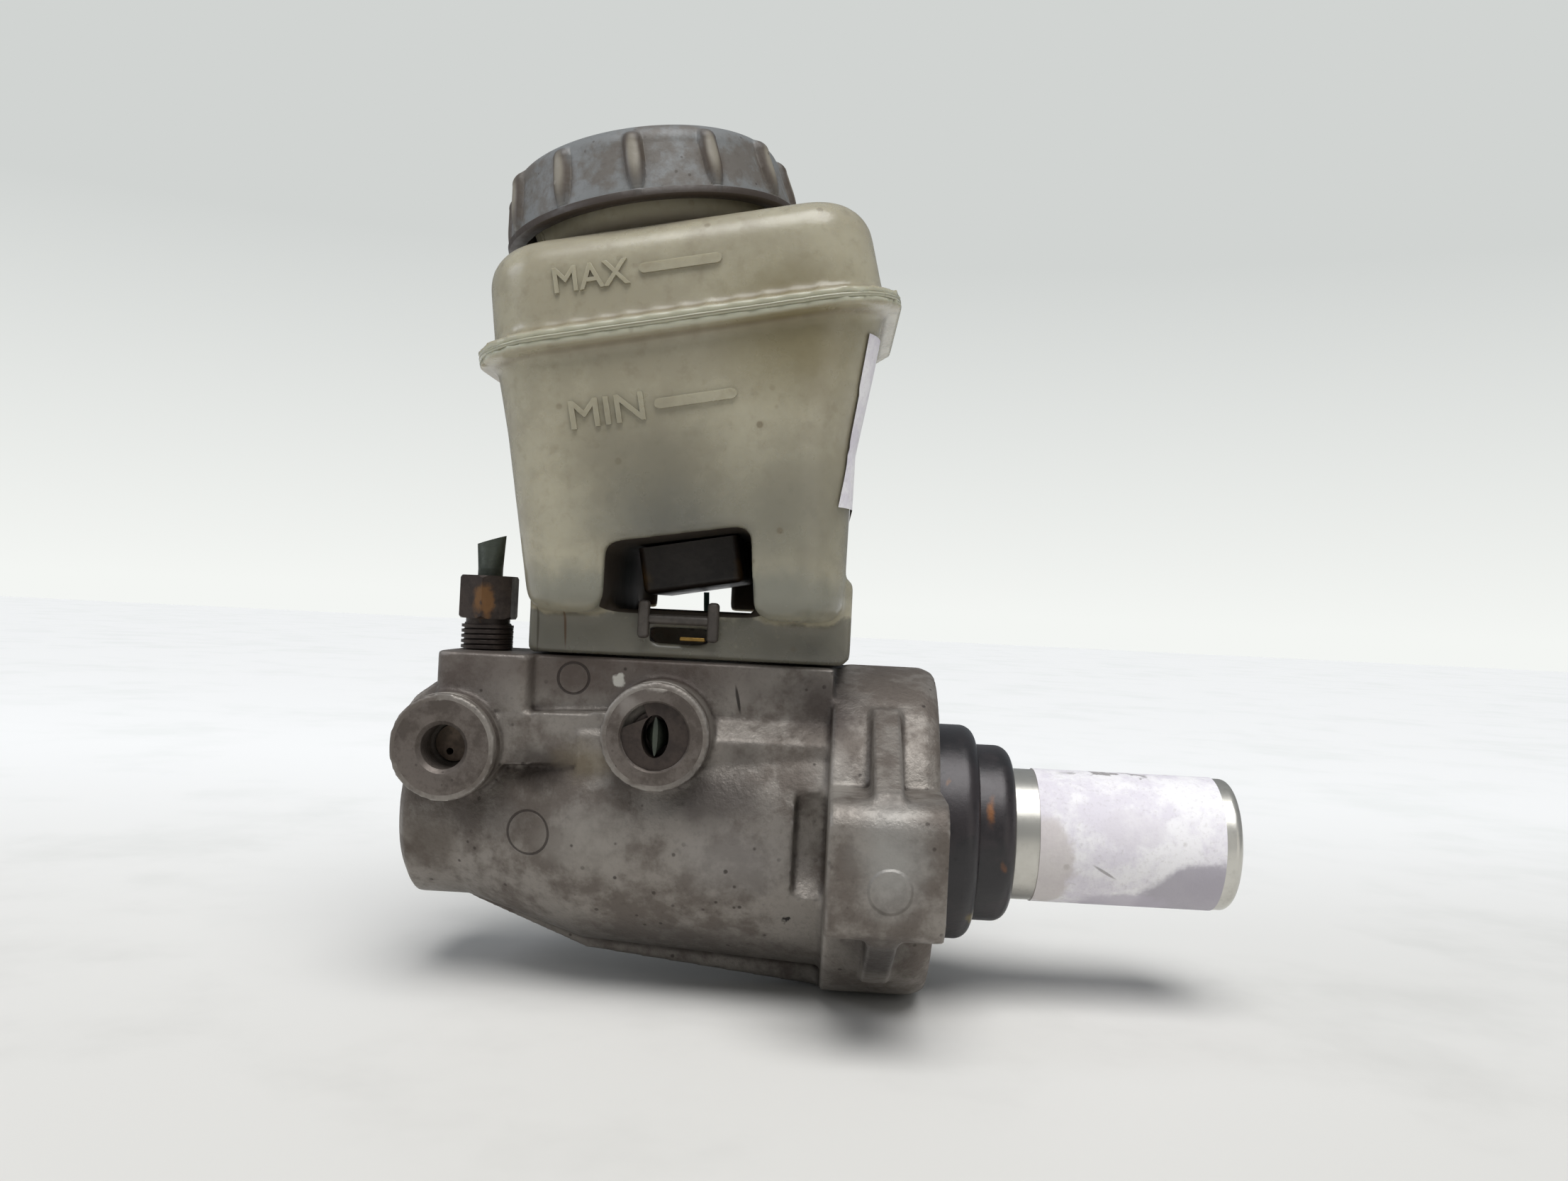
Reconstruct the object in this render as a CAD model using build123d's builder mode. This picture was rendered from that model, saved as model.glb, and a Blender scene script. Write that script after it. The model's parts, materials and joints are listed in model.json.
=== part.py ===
"""Tandem brake master cylinder with its fluid reservoir, in millimetres.

Origin: centre of the booster mounting face, on the bore axis.
+X points out of the bore towards the booster, +Z is up, -Y is the side with the two pipe bosses.
"""
from build123d import *
from math import cos, radians, sin, sqrt, tan
import os

os.makedirs("parts", exist_ok=True)

# ---------------------------------------------------------------- fits
run_gap = 0.05        # radial, between a plunger and what it slides in
seat_gap = 0.04       # between a fixed part and its seat
clear_gap = 0.35      # between parts that pass each other freely

# ---------------------------------------------------------------- bore and plungers
plunger_r = 12.7                      # 1 inch bore
bore_r = plunger_r + run_gap
bore_end_x = -97.5
primary_tail_x = 58.8                 # push-rod end
primary_nose_x = -34.5
primary_hollow_x = -8.0               # floor of the hollow that holds the spring
secondary_tail_x = -50.5
secondary_nose_x = -80.5
secondary_hollow_x = -62.0
plunger_hollow_r = 9.3
plunger_edge = 1.6                    # rounding of the push-rod end
socket_r = 8.0
socket_floor_x = 28.0
secondary_tail_hole_r = 4.8
secondary_tail_hole_depth = 7.0
bleed_hole_r = 0.8
bleed_hole_setback = 1.9

# ---------------------------------------------------------------- seal and guide pack
pack_r = 17.0                         # counterbore that holds the guide pack
pack_floor_x = -33.0
cup_length = 3.5
groove_r = 16.4
separator_x = -68.0                   # left end of the separator cup
secondary_cup_x = -77.0
guide_left_x = -29.4
guide_right_x = -12.0
outer_seal_length = 2.3
circlip_length = 1.5
circlip_r = 18.2
circlip_inner_r = 14.6
o_ring_wire_r = 1.2
o_ring_x = -16.0
guide_relief_r = 14.4                 # fluid space round the plunger under the rear inlet
guide_relief_x = -25.0

# ---------------------------------------------------------------- guide collar
collar_foot = 3.0                     # depth of the collar's seat in the mounting face
collar_r = 20.8
collar_step_x = 8.7
collar_neck_r = 17.1
collar_end_x = 15.9
collar_wall = 1.6
collar_bore_r = plunger_r + 0.2 + clear_gap
collar_rounding = 3.0

# ---------------------------------------------------------------- casting
hub_r = 31.75
hub_length = 19.7
ear_reach = 48.2
ear_half_height = 11.5
ear_edge = 5.0
stud_spacing = 76.0
stud_hole_r = 4.4
stud_scallop_r = 16.0
stud_scallop_depth = 6.0
web_thickness = 5.2
web_top_z = 24.0
web_reach = 45.5
nose_x = -101.0
nose_r = 17.3
nose_edge = 3.2
cone_start_x = -89.0
cone_end_x = -66.0
cone_end_r = 24.4
belly_r = 27.2
shoulder_top_z = 22.3
shoulder_half_width = 13.0
flank_y = 22.4                        # upright flank beside the barrel
flank_top_z = 21.6
flank_edge = 4.0
deck_z = 31.6                         # flat deck that carries the reservoir
deck_half_width = 18.6
deck_left_x = -93.3
deck_step_x = -75.4
nut_pad_front_y = -21.6
nut_pad_back_y = 5.6
keel_half_width = 3.2
keel_start_z = -17.6
keel_mid_z = -26.4
keel_end_z = -31.4

# ---------------------------------------------------------------- pipe ports
port_thread_r = 4.46                  # tapping size of M10 x 1
port_mouth_r = 5.0
port_mouth_depth = 0.9
front_thread_r = 4.2                  # tapping size of 3/8-24 UNF
front_mouth_r = 4.8
port_depth = 11.0
seat_pocket_r = 3.6
seat_pocket_lead = 0.4                # plain wall between the thread and the seat's top
seat_r = seat_pocket_r - seat_gap
seat_height = 3.0
seat_hole_r = 0.8
front_hole_r = 0.5
front_hole = (-0.7, -1.6)             # X and Z of the front seat's hole from the port's axis
drilling_r = 1.3
boss_r = 9.75
boss_edge = 1.3
front_port = (-89.7, 14.4)            # X and Z of the boss centre
front_port_face_y = -27.0
rear_port = (-51.0, 18.5)
rear_port_face_y = -29.6
rail_half_height = 4.8
rail_face_y = -21.6
top_port = (-87.3, -8.3)              # X and Y of the top port

# ---------------------------------------------------------------- pipe nuts and cut pipes
nut_hex = 10.0                        # across flats
nut_hex_length = 8.3
nut_neck_r = 4.2
nut_neck_length = 0.9
nut_thread_r = port_thread_r - seat_gap
nut_crest_r = 4.95
nut_pitch = 1.0
top_nut_lift = 5.1                    # thread of the top nut that stands clear of the deck
rear_sink_r = 6.1                     # counterbore of the rear port, where the nut broke off
rear_sink_depth = 2.4
stump_height = 1.5                    # what is left of the broken nut above the counterbore floor
pipe_r = 2.38
pipe_bore_r = 1.65
nut_bore_r = pipe_r + seat_gap
flare_r = 3.5
flare_length = 1.4
pinch_length = 5.6
top_pipe_reach = 21.3                 # end of the cut pipe above the deck
top_pipe_slant = 18.0                 # degrees
top_pinch = (2.95, 0.9)               # half sizes of the flattened end, along X and across
rear_pipe_reach = -1.2                # end of the cut pipe, from the boss face
rear_pinch = (0.45, 3.5)

# ---------------------------------------------------------------- reservoir
tilt = 10.5                           # degrees, the reservoir leans back towards the nose
tank_x = -49.2                        # middle of the weld flange, on the centre plane
tank_z = 92.2
wall = 2.2
flange_half_length = 39.3
flange_half_width = 34.0
flange_corner = 14.0
flange_half_thickness = 1.7
shell_half_length = 36.4
shell_half_width = 31.0
shell_corner = 12.0
upper_height = 19.8                   # top face above the weld line
upper_round = 7.5
knee_z = 72.0                         # where the lower shell's right wall turns upright
knee_left_x = -82.4
knee_right_x = -18.1
knee_half_width = 29.6
lobe_z = 39.9                         # underside of the two lobes
lobe_left_x = -76.8
lobe_right_x = -18.5
lobe_half_width = 27.6
lobe_corner = 9.0
lobe_round = 4.2
tunnel_left_x = -61.8
tunnel_right_x = -34.6
tunnel_roof_left_z = 52.6
tunnel_roof_right_z = 56.9
tunnel_round = 2.2
tunnel_far_left_x = -59.0             # the tunnel is narrower at its far mouth
tunnel_far_right_x = -42.9
skirt_left_x = -77.3
skirt_right_x = -16.9
skirt_half_width = 17.5
skirt_wall = 2.0
skirt_bottom_z = deck_z + 0.3
skirt_top_z = 47.6
skirt_window_top_z = 41.0             # top edge of the skirt inside the tunnel
front_inlet_x = -69.5
rear_inlet_x = -26.5
spigot_r = 6.0
spigot_bore_r = 4.0
spigot_end_z = 26.6
grommet_r = 9.2
grommet_seat_depth = 9.0
latch_slot = (-54.4, -43.4, 34.9, 37.7)   # left, right, bottom and top of the slot in the skirt

# ---------------------------------------------------------------- filler neck and cap
neck_u = -6.1                         # along the reservoir, from the middle of the flange
neck_top_w = 33.4                     # above the weld line
neck_wall = 2.4
neck_bead_proud = 0.9
neck_bead_width = 1.2
neck_bead_drops = (6.4, 2.6)          # below the neck's top
cap_rim_w = 23.5
cap_top_r = 26.7
cap_flare = 2.3
cap_wall = 2.2
cap_lid = 2.2
cap_thread_room = 1.7
cap_lip = 1.6
cap_lip_proud = 0.7
cap_rib_count = 12
cap_rib_width = 3.3
cap_rib_proud = 1.5
cap_rib_phase = 1.8
cap_edge = 4.4
diaphragm_t = 1.3
diaphragm_room = 0.42                 # between the rubber disc and the lid
diaphragm_dish = 6.0
diaphragm_slope = 1.2
diaphragm_floor = 2.6                 # width of the fold's floor
diaphragm_crown = 3.4                 # width of the raised ring inside the fold
diaphragm_wall = 1.0
strainer_flange_t = 1.0
strainer_room = 2.8                   # between the basket and the neck's bore
strainer_wall = 1.0
strainer_depth = 15.0
strainer_slot_count = 8
strainer_slot_width = 7.0
strainer_slot_sill = 2.5
cap_r = cap_top_r + cap_flare
neck_r = cap_top_r - cap_wall - cap_thread_room
neck_bore_r = neck_r - neck_wall
strainer_r = neck_bore_r - strainer_room
diaphragm_w = neck_top_w + strainer_flange_t + 2 * seat_gap
cap_top_w = diaphragm_w + diaphragm_t + diaphragm_room + cap_lid

# ---------------------------------------------------------------- float and level switch
float_u = -3.0
float_r = 12.5
float_height = 10.0
float_rest_w = -34.1
float_travel = 20.0
float_post_r = 2.6
float_post_reach = 8.1                # of the post beyond the float at its highest
float_post_top_w = float_rest_w + float_height + float_travel + float_post_reach
float_bore_r = float_post_r + clear_gap
magnet_r = 5.6
magnet_height = 3.0
roof_w = -37.1                        # tunnel roof, below the weld line
switch_left_u = -16.2
switch_right_u = 3.1
switch_front_y = -11.0
switch_back_y = 25.0
switch_height = 9.0
switch_round = 2.4
lead_r = 0.6
lead_u = -7.2
lead_exit_y = 21.0
# the cut lead hangs from the switch: steps along X, Y and Z from its exit
lead_steps = ((0.0, 0.0, 0.0), (0.2, 0.2, -5.0), (0.9, 1.2, -9.6), (0.6, 1.4, -14.4))
latch_bar = 2.2
latch_proud = 2.6
latch_left_x = -56.8
latch_right_x = -41.0
latch_cross_z = 37.9

# ---------------------------------------------------------------- springs and cage
spring_gap = 0.3
primary_wire_r = 1.15
primary_coil_r = plunger_hollow_r - spring_gap - primary_wire_r
primary_turns = 7
secondary_wire_r = 1.0
secondary_coil_r = plunger_hollow_r - spring_gap - secondary_wire_r
secondary_turns = 7
cage_flange_t = 1.0
cage_r = 5.6
cage_wall = 0.8
cage_length = 12.0
cage_screw_r = 2.0
cage_head_r = 3.6
cage_head_t = 2.2
cage_screw_grip = 10.0

# ---------------------------------------------------------------- paper labels
paper = 0.2
plunger_label_left_x = 20.6
plunger_label_right_x = 55.4
plunger_label_round = 300.0           # degrees of the plunger that the paper still covers
tank_label_near_y = -28.4
tank_label_far_y = 25.0
tank_label_left_x = -20.5
tank_label_lean = 10.0                # X that the label's left edge gains towards the top
tank_label_bottom_z = 62.0

# planes shared by several parts
tank = Plane(
    origin=(tank_x, 0, tank_z),
    x_dir=(cos(radians(tilt)), 0, sin(radians(tilt))),
    z_dir=(-sin(radians(tilt)), 0, cos(radians(tilt))),
)
neck_centre = tank.from_local_coords(Vector(neck_u, 0, 0))
neck = Plane(origin=neck_centre, x_dir=tank.x_dir, z_dir=tank.z_dir)
float_centre = tank.from_local_coords(Vector(float_u, 0, 0))
float_axis = Plane(origin=float_centre, x_dir=tank.x_dir, z_dir=tank.z_dir)


def across(x):
    """Plane square to the bore at X, facing the booster."""
    return Plane.YZ.offset(x)


def tube(left_x, right_x, outer_r, inner_r=0.0):
    """Tube or disc on the bore axis."""
    with BuildPart() as piece:
        with BuildSketch(across(left_x)):
            Circle(outer_r)
            if inner_r > 0:
                Circle(inner_r, mode=Mode.SUBTRACT)
        extrude(amount=right_x - left_x)
    return piece


def spring(left_x, right_x, coil_r, wire_r, turns):
    """Open coil spring on the bore axis between two faces."""
    length = right_x - left_x - 2 * wire_r
    with BuildPart() as piece:
        with BuildLine():
            start = (left_x + wire_r, 0, 0)
            coil = Helix(length / turns, length, coil_r, center=start, direction=(1, 0, 0))
        with BuildSketch(Plane(origin=coil @ 0, z_dir=coil % 0)):
            Circle(wire_r)
        sweep(is_frenet=True)
    return piece


# ================================================================ casting
# centre, face, counterbore depth, thread and mouth radii, then offset and radius of the seat's hole
side_ports = (
    (front_port, front_port_face_y, 0.0, front_thread_r, front_mouth_r, front_hole, front_hole_r),
    (rear_port, rear_port_face_y, rear_sink_depth, port_thread_r, port_mouth_r, (0, 0), seat_hole_r),
)
thread_run = port_depth - seat_height - seat_pocket_lead
barrel_profile = (
    (nose_x, 0),
    (nose_x, nose_r - nose_edge),
    (nose_x + nose_edge * 0.6, nose_r),
    (cone_start_x, nose_r),
    (cone_end_x, cone_end_r),
    (-hub_length, belly_r),
    (-hub_length, 0),
)
with BuildPart() as cylinder_body:
    # barrel, cone and belly
    with BuildSketch(Plane.XZ):
        with BuildLine():
            Polyline(*barrel_profile, close=True)
        make_face()
    revolve(axis=Axis.X)
    # hub behind the mounting face
    with BuildSketch(across(-hub_length)):
        Circle(hub_r)
    extrude(amount=hub_length)
    # shoulder over the nose
    with BuildSketch(Plane.XZ.offset(-shoulder_half_width)):
        with BuildLine():
            Polyline(
                (nose_x, 0),
                (nose_x, shoulder_top_z - 2.4),
                (nose_x + 1.6, shoulder_top_z),
                (deck_left_x - 2.0, deck_z - 6.2),
                (deck_step_x, deck_z - 6.2),
                (deck_step_x, 0),
                close=True,
            )
        make_face()
    extrude(amount=2 * shoulder_half_width)
    # upright flanks under the deck
    with BuildSketch(across(cone_end_x)):
        with BuildLine():
            Polyline(
                (-flank_y, 0),
                (-flank_y, flank_top_z - flank_edge),
                (-flank_y + flank_edge, flank_top_z),
                (flank_y - flank_edge, flank_top_z),
                (flank_y, flank_top_z - flank_edge),
                (flank_y, 0),
                close=True,
            )
        make_face()
    extrude(amount=-hub_length - cone_end_x)
    # deck and the thicker pad for the top port
    with BuildSketch(Plane.XY.offset(deck_z)):
        with Locations(((deck_step_x - hub_length) / 2, 0)):
            Rectangle(-hub_length - deck_step_x, 2 * deck_half_width)
    extrude(amount=-deck_z)
    with BuildSketch(Plane.XY.offset(deck_z)):
        with Locations(((deck_left_x + deck_step_x) / 2, (nut_pad_front_y + nut_pad_back_y) / 2)):
            RectangleRounded(deck_step_x - deck_left_x, nut_pad_back_y - nut_pad_front_y, 2.5)
    extrude(amount=flank_top_z - deck_z)
    # keel under the belly
    with BuildSketch(Plane.XZ.offset(-keel_half_width)):
        with BuildLine():
            Polyline(
                (cone_start_x, 0),
                (cone_start_x, keel_start_z),
                (cone_end_x, keel_mid_z),
                (-hub_length, keel_end_z),
                (-hub_length, 0),
                close=True,
            )
        make_face()
    extrude(amount=2 * keel_half_width)
    # rail between the two pipe bosses
    with BuildSketch(Plane.XZ.offset(-rail_face_y)):
        with BuildLine():
            Polyline(
                (front_port[0], front_port[1] + 1.0 - rail_half_height),
                (front_port[0], front_port[1] + 1.0 + rail_half_height),
                (rear_port[0], rear_port[1] - 1.0 + rail_half_height),
                (rear_port[0], rear_port[1] - 1.0 - rail_half_height),
                close=True,
            )
        make_face()
    extrude(amount=rail_face_y)
    # pipe bosses
    for (boss_x, boss_z), face_y in ((front_port, front_port_face_y), (rear_port, rear_port_face_y)):
        with BuildSketch(Plane.XZ.offset(-face_y)):
            with Locations((boss_x, boss_z)):
                Circle(boss_r)
        extrude(amount=face_y + 4.0)
        boss_rim = cylinder_body.edges().filter_by(GeomType.CIRCLE).sort_by(Axis.Y)[0]
        chamfer(boss_rim, boss_edge)
    # ears with their stud holes, and the webs that join them to the hub
    for side in (-1, 1):
        with BuildSketch(across(-hub_length)):
            with Locations((side * (ear_reach + hub_r - 8) / 2, 0)):
                RectangleRounded(ear_reach - hub_r + 8, 2 * ear_half_height, ear_edge)
        extrude(amount=hub_length)
        with BuildSketch(across(-(hub_length + web_thickness) / 2)):
            with BuildLine():
                Polyline(
                    (side * web_reach, ear_half_height - 2),
                    (side * (web_reach - 1.0), ear_half_height + 1),
                    (side * sqrt(hub_r**2 - web_top_z**2) * 1.04, web_top_z * 1.04),
                    (side * 10, web_top_z),
                    (side * 10, -web_top_z),
                    (side * sqrt(hub_r**2 - web_top_z**2) * 1.04, -web_top_z * 1.04),
                    (side * (web_reach - 1.0), -ear_half_height - 1),
                    (side * web_reach, -ear_half_height + 2),
                    close=True,
                )
            make_face()
        extrude(amount=web_thickness)
        with BuildSketch(across(-hub_length)):
            with Locations((side * stud_spacing / 2, 0)):
                Circle(stud_scallop_r)
        extrude(amount=-stud_scallop_depth, mode=Mode.SUBTRACT)
        with BuildSketch(across(0)):
            with Locations((side * stud_spacing / 2, 0)):
                Circle(stud_hole_r)
        extrude(amount=-hub_length, mode=Mode.SUBTRACT)
    # main bore, seal grooves and the counterbore for the guide pack
    for left_x, right_x, radius in (
        (bore_end_x, 0, bore_r),
        (separator_x, separator_x + cup_length, groove_r),
        (secondary_cup_x, secondary_cup_x + cup_length, groove_r),
        (pack_floor_x, 0, pack_r),
        (-collar_foot, 0, collar_r + seat_gap),
    ):
        with BuildSketch(across(left_x)):
            Circle(radius)
        extrude(amount=right_x - left_x, mode=Mode.SUBTRACT)
    circlip_right_x = guide_right_x + outer_seal_length + 0.2 + circlip_length
    with BuildSketch(across(circlip_right_x - circlip_length)):
        Circle(circlip_r)
    extrude(amount=circlip_length, mode=Mode.SUBTRACT)
    # side ports with their drillings into the bore
    for (port_x, port_z), face_y, sink, thread_r, mouth_r, (hole_x, hole_z), _ in side_ports:
        for radius, depth in ((thread_r, thread_run), (seat_pocket_r, port_depth)):
            with BuildSketch(Plane.XZ.offset(-face_y)):
                with Locations((port_x, port_z)):
                    Circle(radius)
            extrude(amount=-depth - sink, mode=Mode.SUBTRACT)
        if sink > 0:
            with BuildSketch(Plane.XZ.offset(-face_y)):
                with Locations((port_x, port_z)):
                    Circle(rear_sink_r)
            extrude(amount=-sink, mode=Mode.SUBTRACT)
        with BuildSketch(Plane.XZ.offset(-face_y - sink)):
            with Locations((port_x, port_z)):
                Circle(mouth_r)
        extrude(amount=-port_mouth_depth, taper=30, mode=Mode.SUBTRACT)
        with BuildSketch(Plane.XZ.offset(-face_y)):
            with Locations((port_x + hole_x, port_z + hole_z)):
                Circle(drilling_r)
        extrude(amount=face_y + 6.0, mode=Mode.SUBTRACT)
        with BuildSketch(Plane.XY.offset(port_z + hole_z)):
            with Locations((port_x + hole_x, -6.0)):
                Circle(drilling_r)
        extrude(amount=-port_z, mode=Mode.SUBTRACT)
    # top port
    for radius, depth in ((port_thread_r, thread_run), (seat_pocket_r, port_depth), (drilling_r, deck_z)):
        with BuildSketch(Plane.XY.offset(deck_z)):
            with Locations(top_port):
                Circle(radius)
        extrude(amount=-depth, mode=Mode.SUBTRACT)
    # grommet seats and the inlet drillings below them
    for inlet_x in (front_inlet_x, rear_inlet_x):
        with BuildSketch(Plane.XY.offset(deck_z - grommet_seat_depth)):
            with Locations((inlet_x, 0)):
                Circle(grommet_r + seat_gap)
        extrude(amount=2 * grommet_seat_depth, mode=Mode.SUBTRACT)
        with BuildSketch(Plane.XY.offset(deck_z)):
            with Locations((inlet_x, 0)):
                Circle(drilling_r)
        extrude(amount=-deck_z, mode=Mode.SUBTRACT)
cylinder_body.part.label = "cylinder_body"
export_step(cylinder_body.part, "parts/cylinder_body.step")

# ================================================================ flare seats in the three ports
with BuildPart() as flare_seats:
    for (port_x, port_z), face_y, sink, *_, (hole_x, hole_z), hole_r in side_ports:
        with BuildSketch(Plane.XZ.offset(-face_y - sink - port_depth)):
            with Locations((port_x, port_z)):
                Circle(seat_r)
            with Locations((port_x + hole_x, port_z + hole_z)):
                Circle(hole_r, mode=Mode.SUBTRACT)
        extrude(amount=seat_height, taper=3)
    with BuildSketch(Plane.XY.offset(deck_z - port_depth)):
        with Locations(top_port):
            Circle(seat_r)
            Circle(seat_hole_r, mode=Mode.SUBTRACT)
    extrude(amount=seat_height, taper=3)
flare_seats.part.label = "flare_seats"
export_step(flare_seats.part, "parts/flare_seats.step")

# ================================================================ guide collar
with BuildPart() as guide_collar:
    with BuildSketch(Plane.XZ) as collar_section:
        with BuildLine():
            Polyline(
                (-collar_foot, collar_bore_r + collar_wall),
                (-collar_foot, collar_r),
                (collar_step_x, collar_r),
                (collar_step_x, collar_neck_r),
                (collar_end_x, collar_neck_r),
                (collar_end_x, collar_bore_r),
                (circlip_right_x + 0.3, collar_bore_r),
                (circlip_right_x + 0.3, collar_bore_r + collar_wall),
                close=True,
            )
        make_face()
        for corner_x, corner_r in ((collar_step_x, collar_r), (collar_end_x, collar_neck_r)):
            fillet(collar_section.vertices().sort_by_distance((corner_x, corner_r, 0))[0], collar_rounding)
    revolve(axis=Axis.X)
guide_collar.part.label = "guide_collar"
export_step(guide_collar.part, "parts/guide_collar.step")

# ================================================================ guide pack
with BuildPart() as guide_bearing:
    with BuildSketch(across(guide_left_x)):
        Circle(pack_r - seat_gap)
        Circle(bore_r, mode=Mode.SUBTRACT)
    extrude(amount=guide_right_x - guide_left_x)
    with BuildSketch(across(guide_left_x)):
        Circle(guide_relief_r)
    extrude(amount=guide_relief_x - guide_left_x, mode=Mode.SUBTRACT)
    with BuildSketch(across(o_ring_x - o_ring_wire_r)):
        Circle(pack_r + 1)
        Circle(pack_r - 2 * o_ring_wire_r, mode=Mode.SUBTRACT)
    extrude(amount=2 * o_ring_wire_r, mode=Mode.SUBTRACT)
    # slots that let fluid from the rear inlet reach the plunger
    with BuildSketch(across(guide_left_x)):
        with PolarLocations((pack_r + guide_relief_r) / 2, 4, start_angle=90):
            Rectangle(pack_r - guide_relief_r + 2, 4.0)
    extrude(amount=guide_relief_x - guide_left_x, mode=Mode.SUBTRACT)
guide_bearing.part.label = "guide_bearing"
export_step(guide_bearing.part, "parts/guide_bearing.step")

with BuildPart() as bearing_o_ring:
    with BuildSketch(Plane.XZ):
        with Locations((o_ring_x, pack_r - o_ring_wire_r)):
            Circle(o_ring_wire_r - seat_gap)
    revolve(axis=Axis.X)
bearing_o_ring.part.label = "bearing_o_ring"
export_step(bearing_o_ring.part, "parts/bearing_o_ring.step")


def lip_cup(left_x, length, outer_r):
    """Lip seal: a ring with a groove in its pressure side, which faces the nose."""
    with BuildPart() as cup:
        with BuildSketch(Plane.XZ):
            with BuildLine():
                Polyline(
                    (left_x, bore_r),
                    (left_x, bore_r + 1.1),
                    (left_x + length * 0.6, bore_r + 1.3),
                    (left_x + length * 0.6, outer_r - 1.3),
                    (left_x, outer_r - 1.1),
                    (left_x, outer_r),
                    (left_x + length, outer_r),
                    (left_x + length, bore_r),
                    close=True,
                )
            make_face()
        revolve(axis=Axis.X)
    return cup


primary_cup = lip_cup(pack_floor_x + seat_gap, cup_length - seat_gap, pack_r - seat_gap)
primary_cup.part.label = "primary_cup"
export_step(primary_cup.part, "parts/primary_cup.step")

separator_cup = lip_cup(separator_x + seat_gap, cup_length - 2 * seat_gap, groove_r - seat_gap)
separator_cup.part.label = "separator_cup"
export_step(separator_cup.part, "parts/separator_cup.step")

secondary_cup = lip_cup(secondary_cup_x + seat_gap, cup_length - 2 * seat_gap, groove_r - seat_gap)
secondary_cup.part.label = "secondary_cup"
export_step(secondary_cup.part, "parts/secondary_cup.step")

outer_seal = lip_cup(guide_right_x + seat_gap, outer_seal_length, pack_r - seat_gap)
outer_seal.part.label = "outer_seal"
export_step(outer_seal.part, "parts/outer_seal.step")

with BuildPart() as circlip:
    with BuildSketch(across(circlip_right_x - circlip_length + seat_gap)):
        Circle(circlip_r - seat_gap)
        Circle(circlip_inner_r, mode=Mode.SUBTRACT)
        with Locations((0, -circlip_r)):
            Rectangle(6.0, circlip_r - circlip_inner_r + 4.0, mode=Mode.SUBTRACT)
    extrude(amount=circlip_length - 2 * seat_gap)
circlip.part.label = "circlip"
export_step(circlip.part, "parts/circlip.step")

# ================================================================ plungers
with BuildPart() as primary_piston:
    with BuildSketch(across(primary_nose_x)):
        Circle(plunger_r)
    extrude(amount=primary_tail_x - primary_nose_x)
    fillet(primary_piston.edges().sort_by(Axis.X)[-1], plunger_edge)
    with BuildSketch(across(primary_nose_x)):
        Circle(plunger_hollow_r)
    extrude(amount=primary_hollow_x - primary_nose_x, mode=Mode.SUBTRACT)
    with BuildSketch(across(socket_floor_x)):
        Circle(socket_r)
    extrude(amount=primary_tail_x - socket_floor_x, mode=Mode.SUBTRACT)
    with BuildSketch(across(primary_hollow_x)):
        Circle(cage_screw_r + seat_gap)
    extrude(amount=cage_screw_grip + 0.5, mode=Mode.SUBTRACT)
    with BuildSketch(Plane.XY):
        with Locations((primary_nose_x + bleed_hole_setback, 0)):
            Circle(bleed_hole_r)
    extrude(amount=plunger_r + 1, both=True, mode=Mode.SUBTRACT)
    with BuildSketch(Plane.XZ):
        with Locations((primary_nose_x + bleed_hole_setback, 0)):
            Circle(bleed_hole_r)
    extrude(amount=plunger_r + 1, both=True, mode=Mode.SUBTRACT)
primary_piston.part.label = "primary_piston"
export_step(primary_piston.part, "parts/primary_piston.step")

with BuildPart() as secondary_piston:
    with BuildSketch(across(secondary_nose_x)):
        Circle(plunger_r)
    extrude(amount=secondary_tail_x - secondary_nose_x)
    with BuildSketch(across(secondary_nose_x)):
        Circle(plunger_hollow_r)
    extrude(amount=secondary_hollow_x - secondary_nose_x, mode=Mode.SUBTRACT)
    with BuildSketch(across(secondary_tail_x)):
        Circle(secondary_tail_hole_r)
    extrude(amount=-secondary_tail_hole_depth, mode=Mode.SUBTRACT)
    with BuildSketch(Plane.XY):
        with Locations((secondary_nose_x + bleed_hole_setback, 0)):
            Circle(bleed_hole_r)
    extrude(amount=plunger_r + 1, both=True, mode=Mode.SUBTRACT)
secondary_piston.part.label = "secondary_piston"
export_step(secondary_piston.part, "parts/secondary_piston.step")

# ================================================================ springs and their cage
primary_spring = spring(
    secondary_tail_x + cage_flange_t + 0.1, primary_hollow_x - 0.05,
    primary_coil_r, primary_wire_r, primary_turns,
)
primary_spring.part.label = "primary_spring"
export_step(primary_spring.part, "parts/primary_spring.step")

secondary_spring = spring(
    bore_end_x + 0.05, secondary_hollow_x - 0.05,
    secondary_coil_r, secondary_wire_r, secondary_turns,
)
secondary_spring.part.label = "secondary_spring"
export_step(secondary_spring.part, "parts/secondary_spring.step")

cage_flange_x = secondary_tail_x + 0.05
cage_cap_x = cage_flange_x + cage_length
with BuildPart() as spring_retainer:
    with BuildSketch(Plane.XZ):
        with BuildLine():
            Polyline(
                (cage_flange_x, cage_r - cage_wall),
                (cage_flange_x, plunger_hollow_r - 0.4),
                (cage_flange_x + cage_flange_t, plunger_hollow_r - 0.4),
                (cage_flange_x + cage_flange_t, cage_r),
                (cage_cap_x, cage_r),
                (cage_cap_x, cage_screw_r + clear_gap),
                (cage_cap_x - cage_wall, cage_screw_r + clear_gap),
                (cage_cap_x - cage_wall, cage_r - cage_wall),
                close=True,
            )
        make_face()
    revolve(axis=Axis.X)
spring_retainer.part.label = "spring_retainer"
export_step(spring_retainer.part, "parts/spring_retainer.step")

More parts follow.
